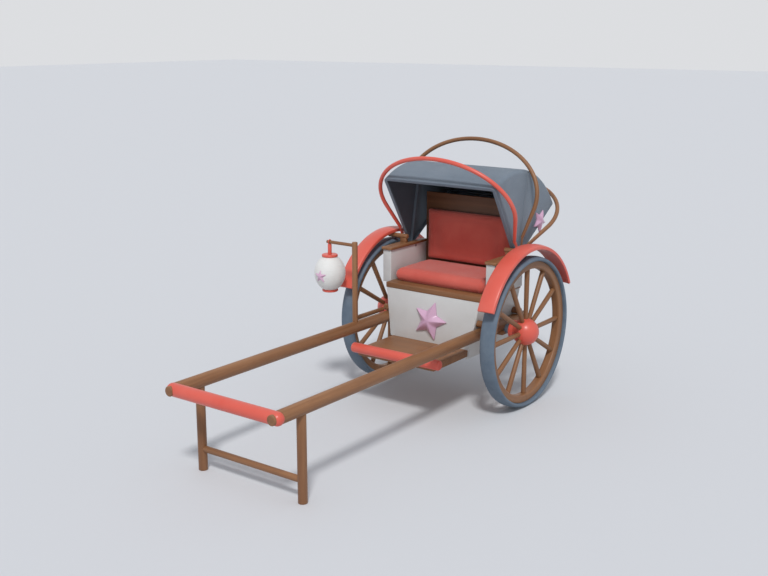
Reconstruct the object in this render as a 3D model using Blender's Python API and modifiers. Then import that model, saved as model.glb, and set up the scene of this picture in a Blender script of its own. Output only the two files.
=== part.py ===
"""A pulled rickshaw: two spoked wheels, a seat box between two shafts, a stand, a fan hood and a lantern.

Metres, +Z up. Forward is -Y and the rider's left is +X. The sizes are measured from the foot of the axle,
on the floor under its middle, and the whole vehicle hangs on an empty there.
"""

import math

import bmesh
import bpy
from mathutils import Matrix, Vector

# Clearances
CONTACT_GAP = 0.0003
RUNNING_GAP = 0.0004
MOVING_GAP = 0.00495
CUT_OVERRUN = 0.02
ROUND_SIDES = 24

# Wheels
WHEEL_RADIUS = 0.5
WHEEL_OFFSET = 0.1778
WHEEL_STEPS = 48
TYRE_DEPTH = 0.0295
TYRE_HALF_WIDTH = 0.052
TYRE_WALL_SHARE = 0.35
TYRE_CROWN_STEPS = 8
RIM_DEPTH = 0.0507
RIM_HALF_WIDTH = 0.030
RIM_CHAMFER = 0.006
SPOKE_COUNT = 12
SPOKE_SIDES = 10
SPOKE_ROLL = math.radians(7)
SPOKE_RADIUS_AT_RIM = 0.0170
SPOKE_RADIUS_AT_HUB = 0.0145
SPOKE_TENON = 0.020
HUB_RADIUS = 0.089
HUB_STEPS = 32
HUB_DOME_STEPS = 10
HUB_NECK_RADIUS = 0.0625
HUB_NECK_REACH = 0.0985
HUB_END_WALL = 0.044
AXLE_RADIUS = 0.030

# Shafts, crossbar and stand
SHAFT_INSET = 0.0033
SHAFT_RADIUS = 0.038
SHAFT_TAIL = 0.300
SHAFT_ABOVE_AXLE = 0.0161
SHAFT_RISE = 0.0105
CROSSBAR_REACH = 2.217
CROSSBAR_RADIUS = 0.038
CROSSBAR_OVERHANG = 0.057
TENON_RADIUS = 0.029
TENON_PROUD = 0.003
AXLE_CAP_HALF_LENGTH = 0.055
AXLE_CAP_WALL = 0.007
AXLE_CAP_TOP_SHARE = 0.35
LEG_INSET = 0.189
LEG_RADIUS = 0.0264
LEG_BAR_HEIGHT = 0.129
LEG_BAR_RADIUS = 0.019

# Seat box
SEAT_TOP = 0.760
SEAT_THICKNESS = 0.036
SEAT_HALF_WIDTH = 0.374
SEAT_FRONT = 0.283
SEAT_BACK = 0.236
SEAT_EDGE = 0.004
BOX_INSET = 0.005
BOX_FRONT = 0.281
BOX_FRONT_LEAN = 0.108
BOX_BACK = 0.231
BOX_BOTTOM = 0.341
PANEL_THICKNESS = 0.014
BEARER_RADIUS = 0.022
BEARER_OVERHANG = 0.030
FOOTBOARD_TOP = 0.404
FOOTBOARD_THICKNESS = 0.058
FOOTBOARD_INSET = 0.0737
FOOTBOARD_REACH = 0.690
FOOT_BAR_RADIUS = 0.033
FOOT_BAR_OVERHANG = 0.034

# Upholstery and backrest
CUSHION_INSET = 0.039
CUSHION_FRONT = 0.212
CUSHION_HEIGHT = 0.085
CUSHION_ROUND = 0.030
BACK_CUSHION_TOP = 1.220
BACK_CUSHION_THICKNESS = 0.047
BACK_CUSHION_ROUND = 0.020
BACKREST_TOP = 1.320
BACKREST_FACE = 0.195
BACKREST_THICKNESS = 0.022

# Arms and fenders
ARM_PANEL_THICKNESS = 0.020
ARM_PANEL_LAP = 0.015
ARM_PANEL_FRONT = 0.270
ARM_BOARD_TOP = 1.011
ARM_BOARD_THICKNESS = 0.035
ARM_BOARD_WIDTH = 0.055
ARM_BOARD_OVERHANG = 0.0107
ARM_BOARD_FRONT = 0.290
ARM_BOARD_ROUND = 0.016
STAY_RADIUS = 0.0165
STAY_SEAT = 0.018
FENDER_THICKNESS = 0.022
FENDER_INSIDE = 0.0585
FENDER_OUTSIDE = 0.0565
FENDER_CROWN = 0.010
FENDER_CROWN_STEPS = 4
FENDER_SWEEP = math.radians(130)
FENDER_STEPS = 28

# Hood
PIVOT_BACK = 0.069
PIVOT_DROP = 0.022
PIN_RADIUS = 0.009
PIN_HEAD_RADIUS = 0.015
PIN_HEAD_THICKNESS = 0.005
BOW_TUBE_RADIUS = 0.014
BOW_TUBE_SIDES_STEP = 4
BOW_LEG_OFFSET = 0.045
BOW_ARCH_SWELL = 0.066
BOW_ARCH_HALF_HEIGHT = 0.360
BOW_ARCH_CENTRE = 0.408
BOW_ARCH_STEPS = 22
LUG_LENGTH = 0.135
LUG_HALF_WIDTH = 0.013
LUG_THICKNESS = 0.0055
LUG_SPACING = 0.0075
LUG_LAP = 0.030
BOW_FRONT_TILT = math.radians(29.8)
BOW_MIDDLE_TILT = math.radians(-12.2)
BOW_REAR_TILT = math.radians(-55.7)
CANOPY_RADIUS = 0.588
CANOPY_INSET = 0.020
CANOPY_THICKNESS = 0.021
CANOPY_CORNER = 0.030
CANOPY_CORNER_STEPS = 4
CANOPY_FRONT_TILT = math.radians(31.5)
CANOPY_REAR_TILT = math.radians(-57.0)
CANOPY_SEAM = math.radians(0.05)
CANOPY_STEPS = 8

# Lantern
LANTERN_CLEARANCE = 0.030875
POST_RADIUS = 0.0185
POST_TOP = 1.088
LANTERN_ARM_RADIUS = 0.011
LANTERN_ARM_DROP = 0.023
LANTERN_ARM_OVERHANG = 0.022
LANTERN_OFFSET = 0.2093
LANTERN_HANG = 0.203
GLOBE_RADIUS = 0.103
GLOBE_HALF_HEIGHT = 0.118
GLOBE_CUT_SHARE = 0.89
GLOBE_STEPS = 24
GLOBE_RINGS = 12
LANTERN_CAP_RADIUS = 0.058
LANTERN_CAP_THICKNESS = 0.017
LANTERN_CAP_ROUND = 0.006
HANGER_RADIUS = 0.010
LOOP_WIRE_RADIUS = 0.003
LOOP_STEPS = 20
LOOP_SIDES = 8

# Stars
STAR_POINTS = 5
STAR_NOTCH_SHARE = 0.46
STAR_RIM_SHARE = 0.45
FRONT_STAR_RADIUS = 0.150
FRONT_STAR_THICKNESS = 0.034
FRONT_STAR_HEIGHT = 0.550
FRONT_STAR_TURN = math.radians(-15)
CANOPY_STAR_RADIUS = 0.110
CANOPY_STAR_THICKNESS = 0.022
CANOPY_STAR_OUT = 0.360
CANOPY_STAR_TILT = math.radians(-51.8)
LANTERN_STAR_RADIUS = 0.044
LANTERN_STAR_THICKNESS = 0.010
LANTERN_STAR_DROP = 0.035
LANTERN_STAR_SINK = 0.006

# Widths, heights and places that follow
SIDES = (("left", 1), ("right", -1))
BOX_HALF_WIDTH = SEAT_HALF_WIDTH - BOX_INSET
CUSHION_HALF_WIDTH = SEAT_HALF_WIDTH - CUSHION_INSET
SHAFT_SPACING_HALF = SEAT_HALF_WIDTH - SHAFT_INSET
FOOTBOARD_HALF_WIDTH = SHAFT_SPACING_HALF - FOOTBOARD_INSET
WHEEL_SPACING_HALF = SHAFT_SPACING_HALF + WHEEL_OFFSET
FENDER_INNER_EDGE = WHEEL_SPACING_HALF - FENDER_INSIDE
FENDER_OUTER_EDGE = WHEEL_SPACING_HALF + FENDER_OUTSIDE
AXLE_HEIGHT = WHEEL_RADIUS
RIM_RADIUS = WHEEL_RADIUS - TYRE_DEPTH - CONTACT_GAP
SHAFT_TIP = CROSSBAR_REACH + CROSSBAR_RADIUS + TENON_PROUD
LEG_REACH = CROSSBAR_REACH - LEG_INSET
SEAT_UNDERSIDE = SEAT_TOP - SEAT_THICKNESS
FOOTBOARD_UNDERSIDE = FOOTBOARD_TOP - FOOTBOARD_THICKNESS
ARM_PANEL_INNER = SEAT_HALF_WIDTH + CONTACT_GAP
ARM_PANEL_OUTER = ARM_PANEL_INNER + ARM_PANEL_THICKNESS
ARM_BOARD_OUTER = ARM_PANEL_OUTER + ARM_BOARD_OVERHANG
ARM_BOARD_UNDERSIDE = ARM_BOARD_TOP - ARM_BOARD_THICKNESS
BOW_LEG_SPREAD = ARM_BOARD_OUTER + BOW_LEG_OFFSET
BOW_ARCH_HALF_WIDTH = BOW_LEG_SPREAD + BOW_ARCH_SWELL
CANOPY_HALF_WIDTH = BOW_LEG_SPREAD - CANOPY_INSET
STAY_HEIGHT = ARM_BOARD_TOP + CONTACT_GAP + STAY_RADIUS
PIVOT_HEIGHT = ARM_BOARD_UNDERSIDE - PIVOT_DROP
LUG_STACK_START = BOW_LEG_SPREAD - LUG_SPACING - LUG_THICKNESS / 2
PIN_END = LUG_STACK_START + 2 * LUG_SPACING + LUG_THICKNESS + RUNNING_GAP
LANTERN_OUT = SHAFT_SPACING_HALF + LANTERN_OFFSET
LANTERN_ARM_END = LANTERN_OUT + LANTERN_ARM_OVERHANG
LANTERN_ARM_HEIGHT = POST_TOP - LANTERN_ARM_DROP
LANTERN_MIDDLE = LANTERN_ARM_HEIGHT - LANTERN_HANG

# Colour, roughness and metallic value of each finish
FINISHES = {
    "stained_wood": ((0.270, 0.115, 0.048), 0.55, 0.0),
    "coral_paint": ((0.680, 0.110, 0.075), 0.42, 0.0),
    "white_paint": ((0.640, 0.650, 0.640), 0.50, 0.0),
    "red_cloth": ((0.560, 0.070, 0.055), 0.80, 0.0),
    "hood_cloth": ((0.140, 0.185, 0.240), 0.85, 0.0),
    "tyre_rubber": ((0.130, 0.185, 0.250), 0.70, 0.0),
    "axle_steel": ((0.180, 0.230, 0.300), 0.45, 0.6),
    "lantern_paper": ((0.800, 0.800, 0.780), 0.80, 0.0),
    "pink_enamel": ((0.680, 0.360, 0.560), 0.40, 0.0),
}


def shaft_height(forward):
    """Height of a shaft's centre line, this far forward of the axle."""
    return AXLE_HEIGHT + SHAFT_ABOVE_AXLE + SHAFT_RISE * forward / CROSSBAR_REACH


def side_lean():
    """Lean of the seat box's sides, which narrow downwards until they touch the shafts."""
    inward = SHAFT_SPACING_HALF - BOX_HALF_WIDTH
    down = SEAT_UNDERSIDE - shaft_height(0)
    reach = math.hypot(inward, down)
    return math.asin((SHAFT_RADIUS + 2 * CONTACT_GAP) / reach) - math.atan2(inward, down)


def box_half_width(height):
    """Outer half width of the seat box at this height."""
    return BOX_HALF_WIDTH - (SEAT_UNDERSIDE - height) * math.tan(side_lean())


def box_front(height):
    """Y of the seat box's front face at this height."""
    return -BOX_FRONT - (SEAT_UNDERSIDE - height) * BOX_FRONT_LEAN


def stay_forward():
    """How far in front of the axle the fender stays lie, clear of the front bow's lugs beside them."""
    rise = STAY_HEIGHT - PIVOT_HEIGHT
    need = STAY_RADIUS + LUG_HALF_WIDTH + MOVING_GAP
    across = (need + rise * math.sin(BOW_FRONT_TILT)) / math.cos(BOW_FRONT_TILT)
    return across - PIVOT_BACK


def fender_inner_radius():
    """Inner radius of a fender whose underside lies on its stay."""
    reach = math.hypot(stay_forward(), STAY_HEIGHT - AXLE_HEIGHT) + STAY_RADIUS + CONTACT_GAP
    return reach / math.cos(FENDER_SWEEP / FENDER_STEPS / 2)


def lantern_reach():
    """How far forward of the axle the lantern hangs, its globe ahead of the fender's end."""
    return fender_inner_radius() * math.sin(FENDER_SWEEP / 2) + LANTERN_CLEARANCE + GLOBE_RADIUS


def rear_reach():
    """How far behind the axle the rear bow's crown comes."""
    crown = BOW_ARCH_CENTRE + BOW_ARCH_HALF_HEIGHT
    return PIVOT_BACK + crown * math.sin(-BOW_REAR_TILT) + BOW_TUBE_RADIUS


def bore(radius, sides=ROUND_SIDES, gap=CONTACT_GAP):
    """Radius of a faceted bore that clears a round bar all the way round."""
    return (radius + gap) / math.cos(math.pi / sides)


def clear_scene():
    for obj in list(bpy.data.objects):
        bpy.data.objects.remove(obj, do_unlink=True)


def new_collection(name):
    collection = bpy.data.collections.new(name)
    bpy.context.scene.collection.children.link(collection)
    return collection


def new_finish(name):
    colour, roughness, metallic = FINISHES[name]
    material = bpy.data.materials.new(name)
    material.use_nodes = True
    shader = material.node_tree.nodes["Principled BSDF"]
    shader.inputs["Base Color"].default_value = (*colour, 1)
    shader.inputs["Roughness"].default_value = roughness
    shader.inputs["Metallic"].default_value = metallic
    return material


def new_empty(name, place, parent=None):
    empty = bpy.data.objects.new(name, None)
    PARTS.objects.link(empty)
    empty.parent = parent
    empty.location = place
    return empty


def add(name, mesh, finish=None, parent=None, place=(0, 0, 0), turn=None):
    """Adds a piece, or a cutter where no finish is given, in its parent's coordinates."""
    obj = bpy.data.objects.new(name, mesh)
    (PARTS if finish else CUTTERS).objects.link(obj)
    obj.parent = parent or DATUM
    obj.matrix_basis = Matrix.Translation(place) @ (turn or Matrix())
    if finish:
        mesh.materials.append(MATERIALS[finish])
        mesh.shade_smooth()
        mesh.set_sharp_from_angle(angle=SHARP_ANGLE)
    else:
        obj.hide_render = True
        obj.display_type = "WIRE"
    return obj


def mesh_from(name, bm):
    bmesh.ops.recalc_face_normals(bm, faces=bm.faces)
    mesh = bpy.data.meshes.new(name)
    bm.to_mesh(mesh)
    bm.free()
    return mesh


def box_mesh(name, low, high):
    bm = bmesh.new()
    middle = (Vector(low) + Vector(high)) / 2
    size = Vector(high) - Vector(low)
    scale = Matrix.Diagonal((*size, 1))
    bmesh.ops.create_cube(bm, size=1, matrix=Matrix.Translation(middle) @ scale)
    return mesh_from(name, bm)


def shaped_box_mesh(name, corner):
    """A box whose corners are set by corner(u, v, w), with u, v and w at 0 or 1 along X, Y and Z."""
    bm = bmesh.new()
    bmesh.ops.create_cube(bm, size=1)
    for vert in bm.verts:
        vert.co = Vector(corner(*(value > 0 for value in vert.co)))
    return mesh_from(name, bm)


def rod_into(bm, start, end, radius, end_radius=None, sides=ROUND_SIDES, roll=0):
    start = Vector(start)
    along = Vector(end) - start
    turn = along.to_track_quat("Z", "Y").to_matrix().to_4x4() @ Matrix.Rotation(roll, 4, "Z")
    bmesh.ops.create_cone(
        bm,
        cap_ends=True,
        segments=sides,
        radius1=radius,
        radius2=radius if end_radius is None else end_radius,
        depth=along.length,
        matrix=Matrix.Translation(start + along / 2) @ turn,
    )


def rod_mesh(name, start, end, radius, end_radius=None, sides=ROUND_SIDES):
    bm = bmesh.new()
    rod_into(bm, start, end, radius, end_radius, sides)
    return mesh_from(name, bm)


def swept_mesh(name, section, start, sweep, steps):
    """A section of (along X, radius) points swept about X from a tilt off the vertical, forward positive."""
    bm = bmesh.new()
    turn = Matrix.Rotation(start, 3, "X")
    face = bm.faces.new([bm.verts.new(turn @ Vector((along, 0, radius))) for along, radius in section])
    geometry = [face, *face.edges, *face.verts]
    bmesh.ops.spin(bm, geom=geometry, cent=(0, 0, 0), axis=(1, 0, 0), angle=sweep, steps=steps)
    return mesh_from(name, bm)


def turned(name, profile, finish, closed=False, steps=ROUND_SIDES, **placing):
    """A piece turned about its own Z axis from a profile of (radius, height) points, from top to bottom."""
    bm = bmesh.new()
    verts = [bm.verts.new((radius, 0, height)) for radius, height in profile]
    for first, second in zip(verts, verts[1:]):
        bm.edges.new((first, second))
    if closed:
        bm.edges.new((verts[-1], verts[0]))
    mesh = bpy.data.meshes.new(name)
    bm.to_mesh(mesh)
    bm.free()
    obj = add(name, mesh, finish, **placing)
    screw = obj.modifiers.new("turn", "SCREW")
    screw.steps = steps
    screw.render_steps = steps
    screw.use_merge_vertices = True
    screw.merge_threshold = 1e-5
    screw.use_smooth_shade = True
    return obj


def mesh_of_curve(curve):
    """The closed mesh that a curve makes, with its caps welded on."""
    holder = bpy.data.objects.new(curve.name, curve)
    CUTTERS.objects.link(holder)
    graph = bpy.context.evaluated_depsgraph_get()
    mesh = bpy.data.meshes.new_from_object(holder.evaluated_get(graph))
    bpy.data.objects.remove(holder)
    bm = bmesh.new()
    bm.from_mesh(mesh)
    bmesh.ops.remove_doubles(bm, verts=bm.verts, dist=1e-5)
    bm.to_mesh(mesh)
    bm.free()
    return mesh


def tube_mesh(name, points, radius, sides_step):
    curve = bpy.data.curves.new(name, "CURVE")
    curve.dimensions = "3D"
    curve.bevel_depth = radius
    curve.bevel_resolution = sides_step
    curve.use_fill_caps = True
    spline = curve.splines.new("POLY")
    spline.points.add(len(points) - 1)
    for point, place in zip(spline.points, points):
        point.co = (*place, 1)
    return mesh_of_curve(curve)


def plate_mesh(name, outlines, thickness):
    """A flat plate in the XY plane from one or more closed outlines; an outline inside another is a hole."""
    curve = bpy.data.curves.new(name, "CURVE")
    curve.dimensions = "2D"
    curve.fill_mode = "BOTH"
    curve.extrude = thickness / 2
    for outline in outlines:
        spline = curve.splines.new("POLY")
        spline.use_cyclic_u = True
        spline.points.add(len(outline) - 1)
        for point, place in zip(spline.points, outline):
            point.co = (*place, 0, 1)
    return mesh_of_curve(curve)


def arc(centre, radius, start, end, steps):
    """Points of an arc in a plane, both ends included."""
    angles = [start + (end - start) * step / steps for step in range(steps + 1)]
    return [(centre[0] + radius * math.cos(angle), centre[1] + radius * math.sin(angle)) for angle in angles]


def boolean(obj, other, operation):
    modifier = obj.modifiers.new(operation.lower(), "BOOLEAN")
    modifier.operation = operation
    modifier.solver = "EXACT"
    modifier.object = other


def rounded(obj, width, segments):
    bevel = obj.modifiers.new("rounded", "BEVEL")
    bevel.width = width
    bevel.segments = segments
    bevel.limit_method = "ANGLE"
    bevel.angle_limit = math.radians(40)


def star_mesh(name, radius, thickness):
    """A puffed five-pointed star facing +Z: flat behind, a low rim, and a raised middle."""
    bm = bmesh.new()
    bmesh.ops.create_circle(bm, cap_ends=True, radius=radius, segments=2 * STAR_POINTS)
    back = bm.faces[:][0]
    bm.verts.ensure_lookup_table()
    for index, vert in enumerate(bm.verts):
        if index % 2:
            vert.co *= STAR_NOTCH_SHARE
    front = bmesh.ops.extrude_face_region(bm, geom=[back])["geom"]
    rim = [item for item in front if isinstance(item, bmesh.types.BMVert)]
    bmesh.ops.translate(bm, verts=rim, vec=(0, 0, thickness * STAR_RIM_SHARE))
    bm.faces.ensure_lookup_table()
    caps = [face for face in bm.faces if len(face.verts) == 2 * STAR_POINTS]
    middle = bmesh.ops.poke(bm, faces=caps)["verts"]
    for vert in middle:
        if vert.co.z > 0:
            vert.co.z = thickness
    return mesh_from(name, bm)


def add_star(name, radius, thickness, **placing):
    star = add(name, star_mesh(name, radius, thickness), "pink_enamel", **placing)
    smooth = star.modifiers.new("puffed", "SUBSURF")
    smooth.levels = 2
    smooth.render_levels = 2
    return star


def make_wheel(side_name, side):
    """Tyre, rim with spokes, and hub, all about their own Z axis, which points outwards along the axle."""
    axis = new_empty(f"wheel_{side_name}_axis", (side * WHEEL_SPACING_HALF, 0, AXLE_HEIGHT), DATUM)
    axis.rotation_euler = (0, side * math.radians(90), 0)
    crown = []
    for step in range(TYRE_CROWN_STEPS + 1):
        angle = math.radians(90) - math.radians(180) * step / TYRE_CROWN_STEPS
        swell = TYRE_WALL_SHARE + (1 - TYRE_WALL_SHARE) * math.cos(angle)
        crown.append((RIM_RADIUS + CONTACT_GAP + TYRE_DEPTH * swell, TYRE_HALF_WIDTH * math.sin(angle)))
    bead = RIM_RADIUS + CONTACT_GAP
    profile = [(bead, TYRE_HALF_WIDTH), *crown, (bead, -TYRE_HALF_WIDTH)]
    turned(f"tyre_{side_name}", profile, "tyre_rubber", closed=True, steps=WHEEL_STEPS, parent=axis)

    outer = RIM_RADIUS
    inner = RIM_RADIUS - RIM_DEPTH
    half = RIM_HALF_WIDTH
    profile = [
        (outer, half),
        (outer, -half),
        (inner + RIM_CHAMFER, -half),
        (inner, -half + RIM_CHAMFER),
        (inner, half - RIM_CHAMFER),
        (inner + RIM_CHAMFER, half),
    ]
    name = f"wheel_rim_{side_name}"
    rim = turned(name, profile, "stained_wood", closed=True, steps=WHEEL_STEPS, parent=axis)
    inner_end = HUB_RADIUS - SPOKE_TENON
    outer_end = inner + RIM_DEPTH / 2
    spokes = bmesh.new()
    sockets = bmesh.new()
    for number in range(SPOKE_COUNT):
        angle = math.tau * number / SPOKE_COUNT
        out = Vector((math.cos(angle), math.sin(angle), 0))
        ends = (out * inner_end, out * outer_end)
        rod_into(spokes, *ends, SPOKE_RADIUS_AT_HUB, SPOKE_RADIUS_AT_RIM, SPOKE_SIDES, SPOKE_ROLL)
        ends = (out * (inner_end - CONTACT_GAP), out * (HUB_RADIUS + CUT_OVERRUN))
        socket_radius = bore(SPOKE_RADIUS_AT_HUB, SPOKE_SIDES, 2 * CONTACT_GAP)
        rod_into(sockets, *ends, socket_radius, None, SPOKE_SIDES, SPOKE_ROLL)
    spokes = add(f"spokes_{side_name}", mesh_from("spokes", spokes), parent=axis)
    sockets = add(f"sockets_{side_name}", mesh_from("sockets", sockets), parent=axis)
    boolean(rim, spokes, "UNION")

    neck_angle = math.asin(HUB_NECK_RADIUS / HUB_RADIUS)
    dome_end = math.radians(180) - neck_angle
    profile = []
    for step in range(HUB_DOME_STEPS + 1):
        angle = dome_end * step / HUB_DOME_STEPS
        profile.append((HUB_RADIUS * math.sin(angle), HUB_RADIUS * math.cos(angle)))
    axle_bore = bore(AXLE_RADIUS, HUB_STEPS, RUNNING_GAP)
    bore_end = HUB_RADIUS - HUB_END_WALL
    profile += [
        (HUB_NECK_RADIUS, -HUB_NECK_REACH),
        (axle_bore, -HUB_NECK_REACH),
        (axle_bore, bore_end),
        (0, bore_end),
    ]
    hub = turned(f"wheel_hub_{side_name}", profile, "coral_paint", steps=HUB_STEPS, parent=axis)
    boolean(hub, sockets, "DIFFERENCE")


def shaft_end(side, forward):
    return (side * SHAFT_SPACING_HALF, -forward, shaft_height(forward))


def make_shafts():
    """The two shafts, notched over the axle, with round tenons through the crossbar."""
    bar_height = shaft_height(CROSSBAR_REACH)
    bar_half = SHAFT_SPACING_HALF + CROSSBAR_OVERHANG
    bar_ends = [(side * bar_half, -CROSSBAR_REACH, bar_height) for side in (-1, 1)]
    crossbar = add("front_crossbar", rod_mesh("front_crossbar", *bar_ends, CROSSBAR_RADIUS), "coral_paint")
    wide_ends = [(side * (bar_half + CUT_OVERRUN), -CROSSBAR_REACH, bar_height) for side in (-1, 1)]
    bar_cutter = add("crossbar_cutter", rod_mesh("crossbar_cutter", *wide_ends, bore(CROSSBAR_RADIUS)))
    for name, side in SIDES:
        ends = (shaft_end(side, -SHAFT_TAIL), shaft_end(side, CROSSBAR_REACH))
        shaft = add(f"shaft_{name}", rod_mesh("shaft", *ends, SHAFT_RADIUS), "stained_wood")
        boolean(shaft, bar_cutter, "DIFFERENCE")
        tenon_start = shaft_end(side, CROSSBAR_REACH - CROSSBAR_RADIUS - CUT_OVERRUN)
        tenon_mesh = rod_mesh("tenon", tenon_start, shaft_end(side, SHAFT_TIP), TENON_RADIUS)
        boolean(shaft, add(f"tenon_{name}", tenon_mesh), "UNION")
        boolean(shaft, AXLE_CUTTER, "DIFFERENCE")
        far_end = shaft_end(side, SHAFT_TIP + CUT_OVERRUN)
        mortise = add(f"mortise_{name}", rod_mesh("mortise", tenon_start, far_end, bore(TENON_RADIUS)))
        boolean(crossbar, mortise, "DIFFERENCE")


def make_axle():
    end = WHEEL_SPACING_HALF + HUB_RADIUS - HUB_END_WALL - 2 * RUNNING_GAP
    ends = [(side * end, 0, AXLE_HEIGHT) for side in (-1, 1)]
    add("axle", rod_mesh("axle", *ends, AXLE_RADIUS), "axle_steel")
    underside = AXLE_HEIGHT - AXLE_RADIUS - AXLE_CAP_WALL
    top = AXLE_HEIGHT - AXLE_CAP_TOP_SHARE * AXLE_RADIUS
    for name, side in SIDES:
        middle = side * SHAFT_SPACING_HALF
        low = (middle - SHAFT_RADIUS, -AXLE_CAP_HALF_LENGTH, underside)
        high = (middle + SHAFT_RADIUS, AXLE_CAP_HALF_LENGTH, top)
        cap = add(f"axle_cap_{name}", box_mesh("axle_cap", low, high), "stained_wood")
        boolean(cap, SHAFT_CUTTERS[name], "DIFFERENCE")
        boolean(cap, AXLE_CUTTER, "DIFFERENCE")


def make_stand():
    """Two legs cut to the round of the shafts, and the bar between them."""
    leg_cutters = []
    for name, side in SIDES:
        foot = (side * SHAFT_SPACING_HALF, -LEG_REACH, 0)
        top = shaft_end(side, LEG_REACH)
        leg = add(f"stand_leg_{name}", rod_mesh("stand_leg", foot, top, LEG_RADIUS), "stained_wood")
        boolean(leg, SHAFT_CUTTERS[name], "DIFFERENCE")
        leg_cutters.append(add(f"leg_cutter_{name}", rod_mesh("leg_cutter", foot, top, bore(LEG_RADIUS))))
    ends = [(side * SHAFT_SPACING_HALF, -LEG_REACH, LEG_BAR_HEIGHT) for side in (-1, 1)]
    bar = add("stand_bar", rod_mesh("stand_bar", *ends, LEG_BAR_RADIUS), "stained_wood")
    for cutter in leg_cutters:
        boolean(bar, cutter, "DIFFERENCE")


def make_seat_box():
    """Front, side and rear panels, the seat board on them, and the two bearers that lie across the shafts."""
    top = SEAT_UNDERSIDE - CONTACT_GAP
    floor = FOOTBOARD_TOP + CONTACT_GAP
    across = PANEL_THICKNESS / math.cos(side_lean())

    def front_corner(u, v, w):
        height = top if w else floor
        sideways = box_half_width(height)
        return (sideways if u else -sideways, box_front(height) + v * PANEL_THICKNESS, height)

    def rear_corner(u, v, w):
        height = top if w else floor
        sideways = box_half_width(height) - across - CONTACT_GAP
        return (sideways if u else -sideways, BOX_BACK - (1 - v) * PANEL_THICKNESS, height)

    add("box_front_panel", shaped_box_mesh("box_front_panel", front_corner), "white_paint")
    add("box_rear_panel", shaped_box_mesh("box_rear_panel", rear_corner), "white_paint")

    bearer_half = SHAFT_SPACING_HALF + BEARER_OVERHANG
    bearer_height = shaft_height(0) + SHAFT_RADIUS + BEARER_RADIUS + CONTACT_GAP
    front_inside = box_front(bearer_height) + PANEL_THICKNESS
    bearer_places = {
        "front": front_inside + BEARER_RADIUS + BEARER_RADIUS * BOX_FRONT_LEAN,
        "rear": BOX_BACK - PANEL_THICKNESS - BEARER_RADIUS - CONTACT_GAP,
    }
    bearer_cutters = []
    for name, y in bearer_places.items():
        height = shaft_height(-y) + SHAFT_RADIUS + BEARER_RADIUS + CONTACT_GAP
        ends = [(side * bearer_half, y, height) for side in (-1, 1)]
        add(f"bearer_{name}", rod_mesh("bearer", *ends, BEARER_RADIUS), "stained_wood")
        bearer_cutter = rod_mesh("bearer_cutter", *ends, bore(BEARER_RADIUS))
        bearer_cutters.append(add(f"bearer_cutter_{name}", bearer_cutter))

    for name, side in SIDES:

        def side_corner(u, v, w, side=side):
            height = top if w else BOX_BOTTOM
            outer = box_half_width(height)
            front = box_front(height) + PANEL_THICKNESS + CONTACT_GAP
            inner = outer - across
            return (side * (outer if u else inner), BOX_BACK if v else front, height)

        panel = add(f"box_side_{name}", shaped_box_mesh("box_side", side_corner), "white_paint")
        for cutter in (*bearer_cutters, AXLE_CUTTER):
            boolean(panel, cutter, "DIFFERENCE")

    low = (-SEAT_HALF_WIDTH, -SEAT_FRONT, SEAT_UNDERSIDE)
    high = (SEAT_HALF_WIDTH, SEAT_BACK, SEAT_TOP)
    seat = add("seat_board", box_mesh("seat_board", low, high), "stained_wood")
    rounded(seat, SEAT_EDGE, 2)


def make_footboard():
    """A board that reaches out in front and runs back, narrowed, as the floor of the seat box."""
    across = PANEL_THICKNESS / math.cos(side_lean())
    tongue = box_half_width(FOOTBOARD_UNDERSIDE) - across - CONTACT_GAP
    shoulder = box_front(FOOTBOARD_UNDERSIDE) - CONTACT_GAP
    wide = FOOTBOARD_HALF_WIDTH
    outline = [
        (-wide, -FOOTBOARD_REACH),
        (wide, -FOOTBOARD_REACH),
        (wide, shoulder),
        (tongue, shoulder),
        (tongue, BOX_BACK),
        (-tongue, BOX_BACK),
        (-tongue, shoulder),
        (-wide, shoulder),
    ]
    middle = FOOTBOARD_TOP - FOOTBOARD_THICKNESS / 2
    board_mesh = plate_mesh("footboard", [outline], FOOTBOARD_THICKNESS)
    board = add("footboard", board_mesh, "stained_wood", place=(0, 0, middle))
    half = FOOTBOARD_HALF_WIDTH + FOOT_BAR_OVERHANG
    ends = [(side * half, -FOOTBOARD_REACH, FOOTBOARD_TOP) for side in (-1, 1)]
    add("foot_bar", rod_mesh("foot_bar", *ends, FOOT_BAR_RADIUS), "coral_paint")
    bar_cutter = rod_mesh("foot_bar_cutter", *ends, bore(FOOT_BAR_RADIUS))
    boolean(board, add("foot_bar_cutter", bar_cutter), "DIFFERENCE")


def make_upholstery():
    cushion_top = SEAT_TOP + CONTACT_GAP + CUSHION_HEIGHT
    back_face = BACKREST_FACE - CONTACT_GAP
    low = (-CUSHION_HALF_WIDTH, -CUSHION_FRONT, SEAT_TOP + CONTACT_GAP)
    high = (CUSHION_HALF_WIDTH, back_face, cushion_top)
    rounded(add("seat_cushion", box_mesh("seat_cushion", low, high), "red_cloth"), CUSHION_ROUND, 4)
    low = (-CUSHION_HALF_WIDTH, back_face - BACK_CUSHION_THICKNESS, cushion_top + CONTACT_GAP)
    high = (CUSHION_HALF_WIDTH, back_face, BACK_CUSHION_TOP)
    rounded(add("back_cushion", box_mesh("back_cushion", low, high), "red_cloth"), BACK_CUSHION_ROUND, 4)
    low = (-SEAT_HALF_WIDTH, BACKREST_FACE, SEAT_TOP + CONTACT_GAP)
    high = (SEAT_HALF_WIDTH, BACKREST_FACE + BACKREST_THICKNESS, BACKREST_TOP)
    rounded(add("backrest_board", box_mesh("backrest_board", low, high), "stained_wood"), SEAT_EDGE, 2)


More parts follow.
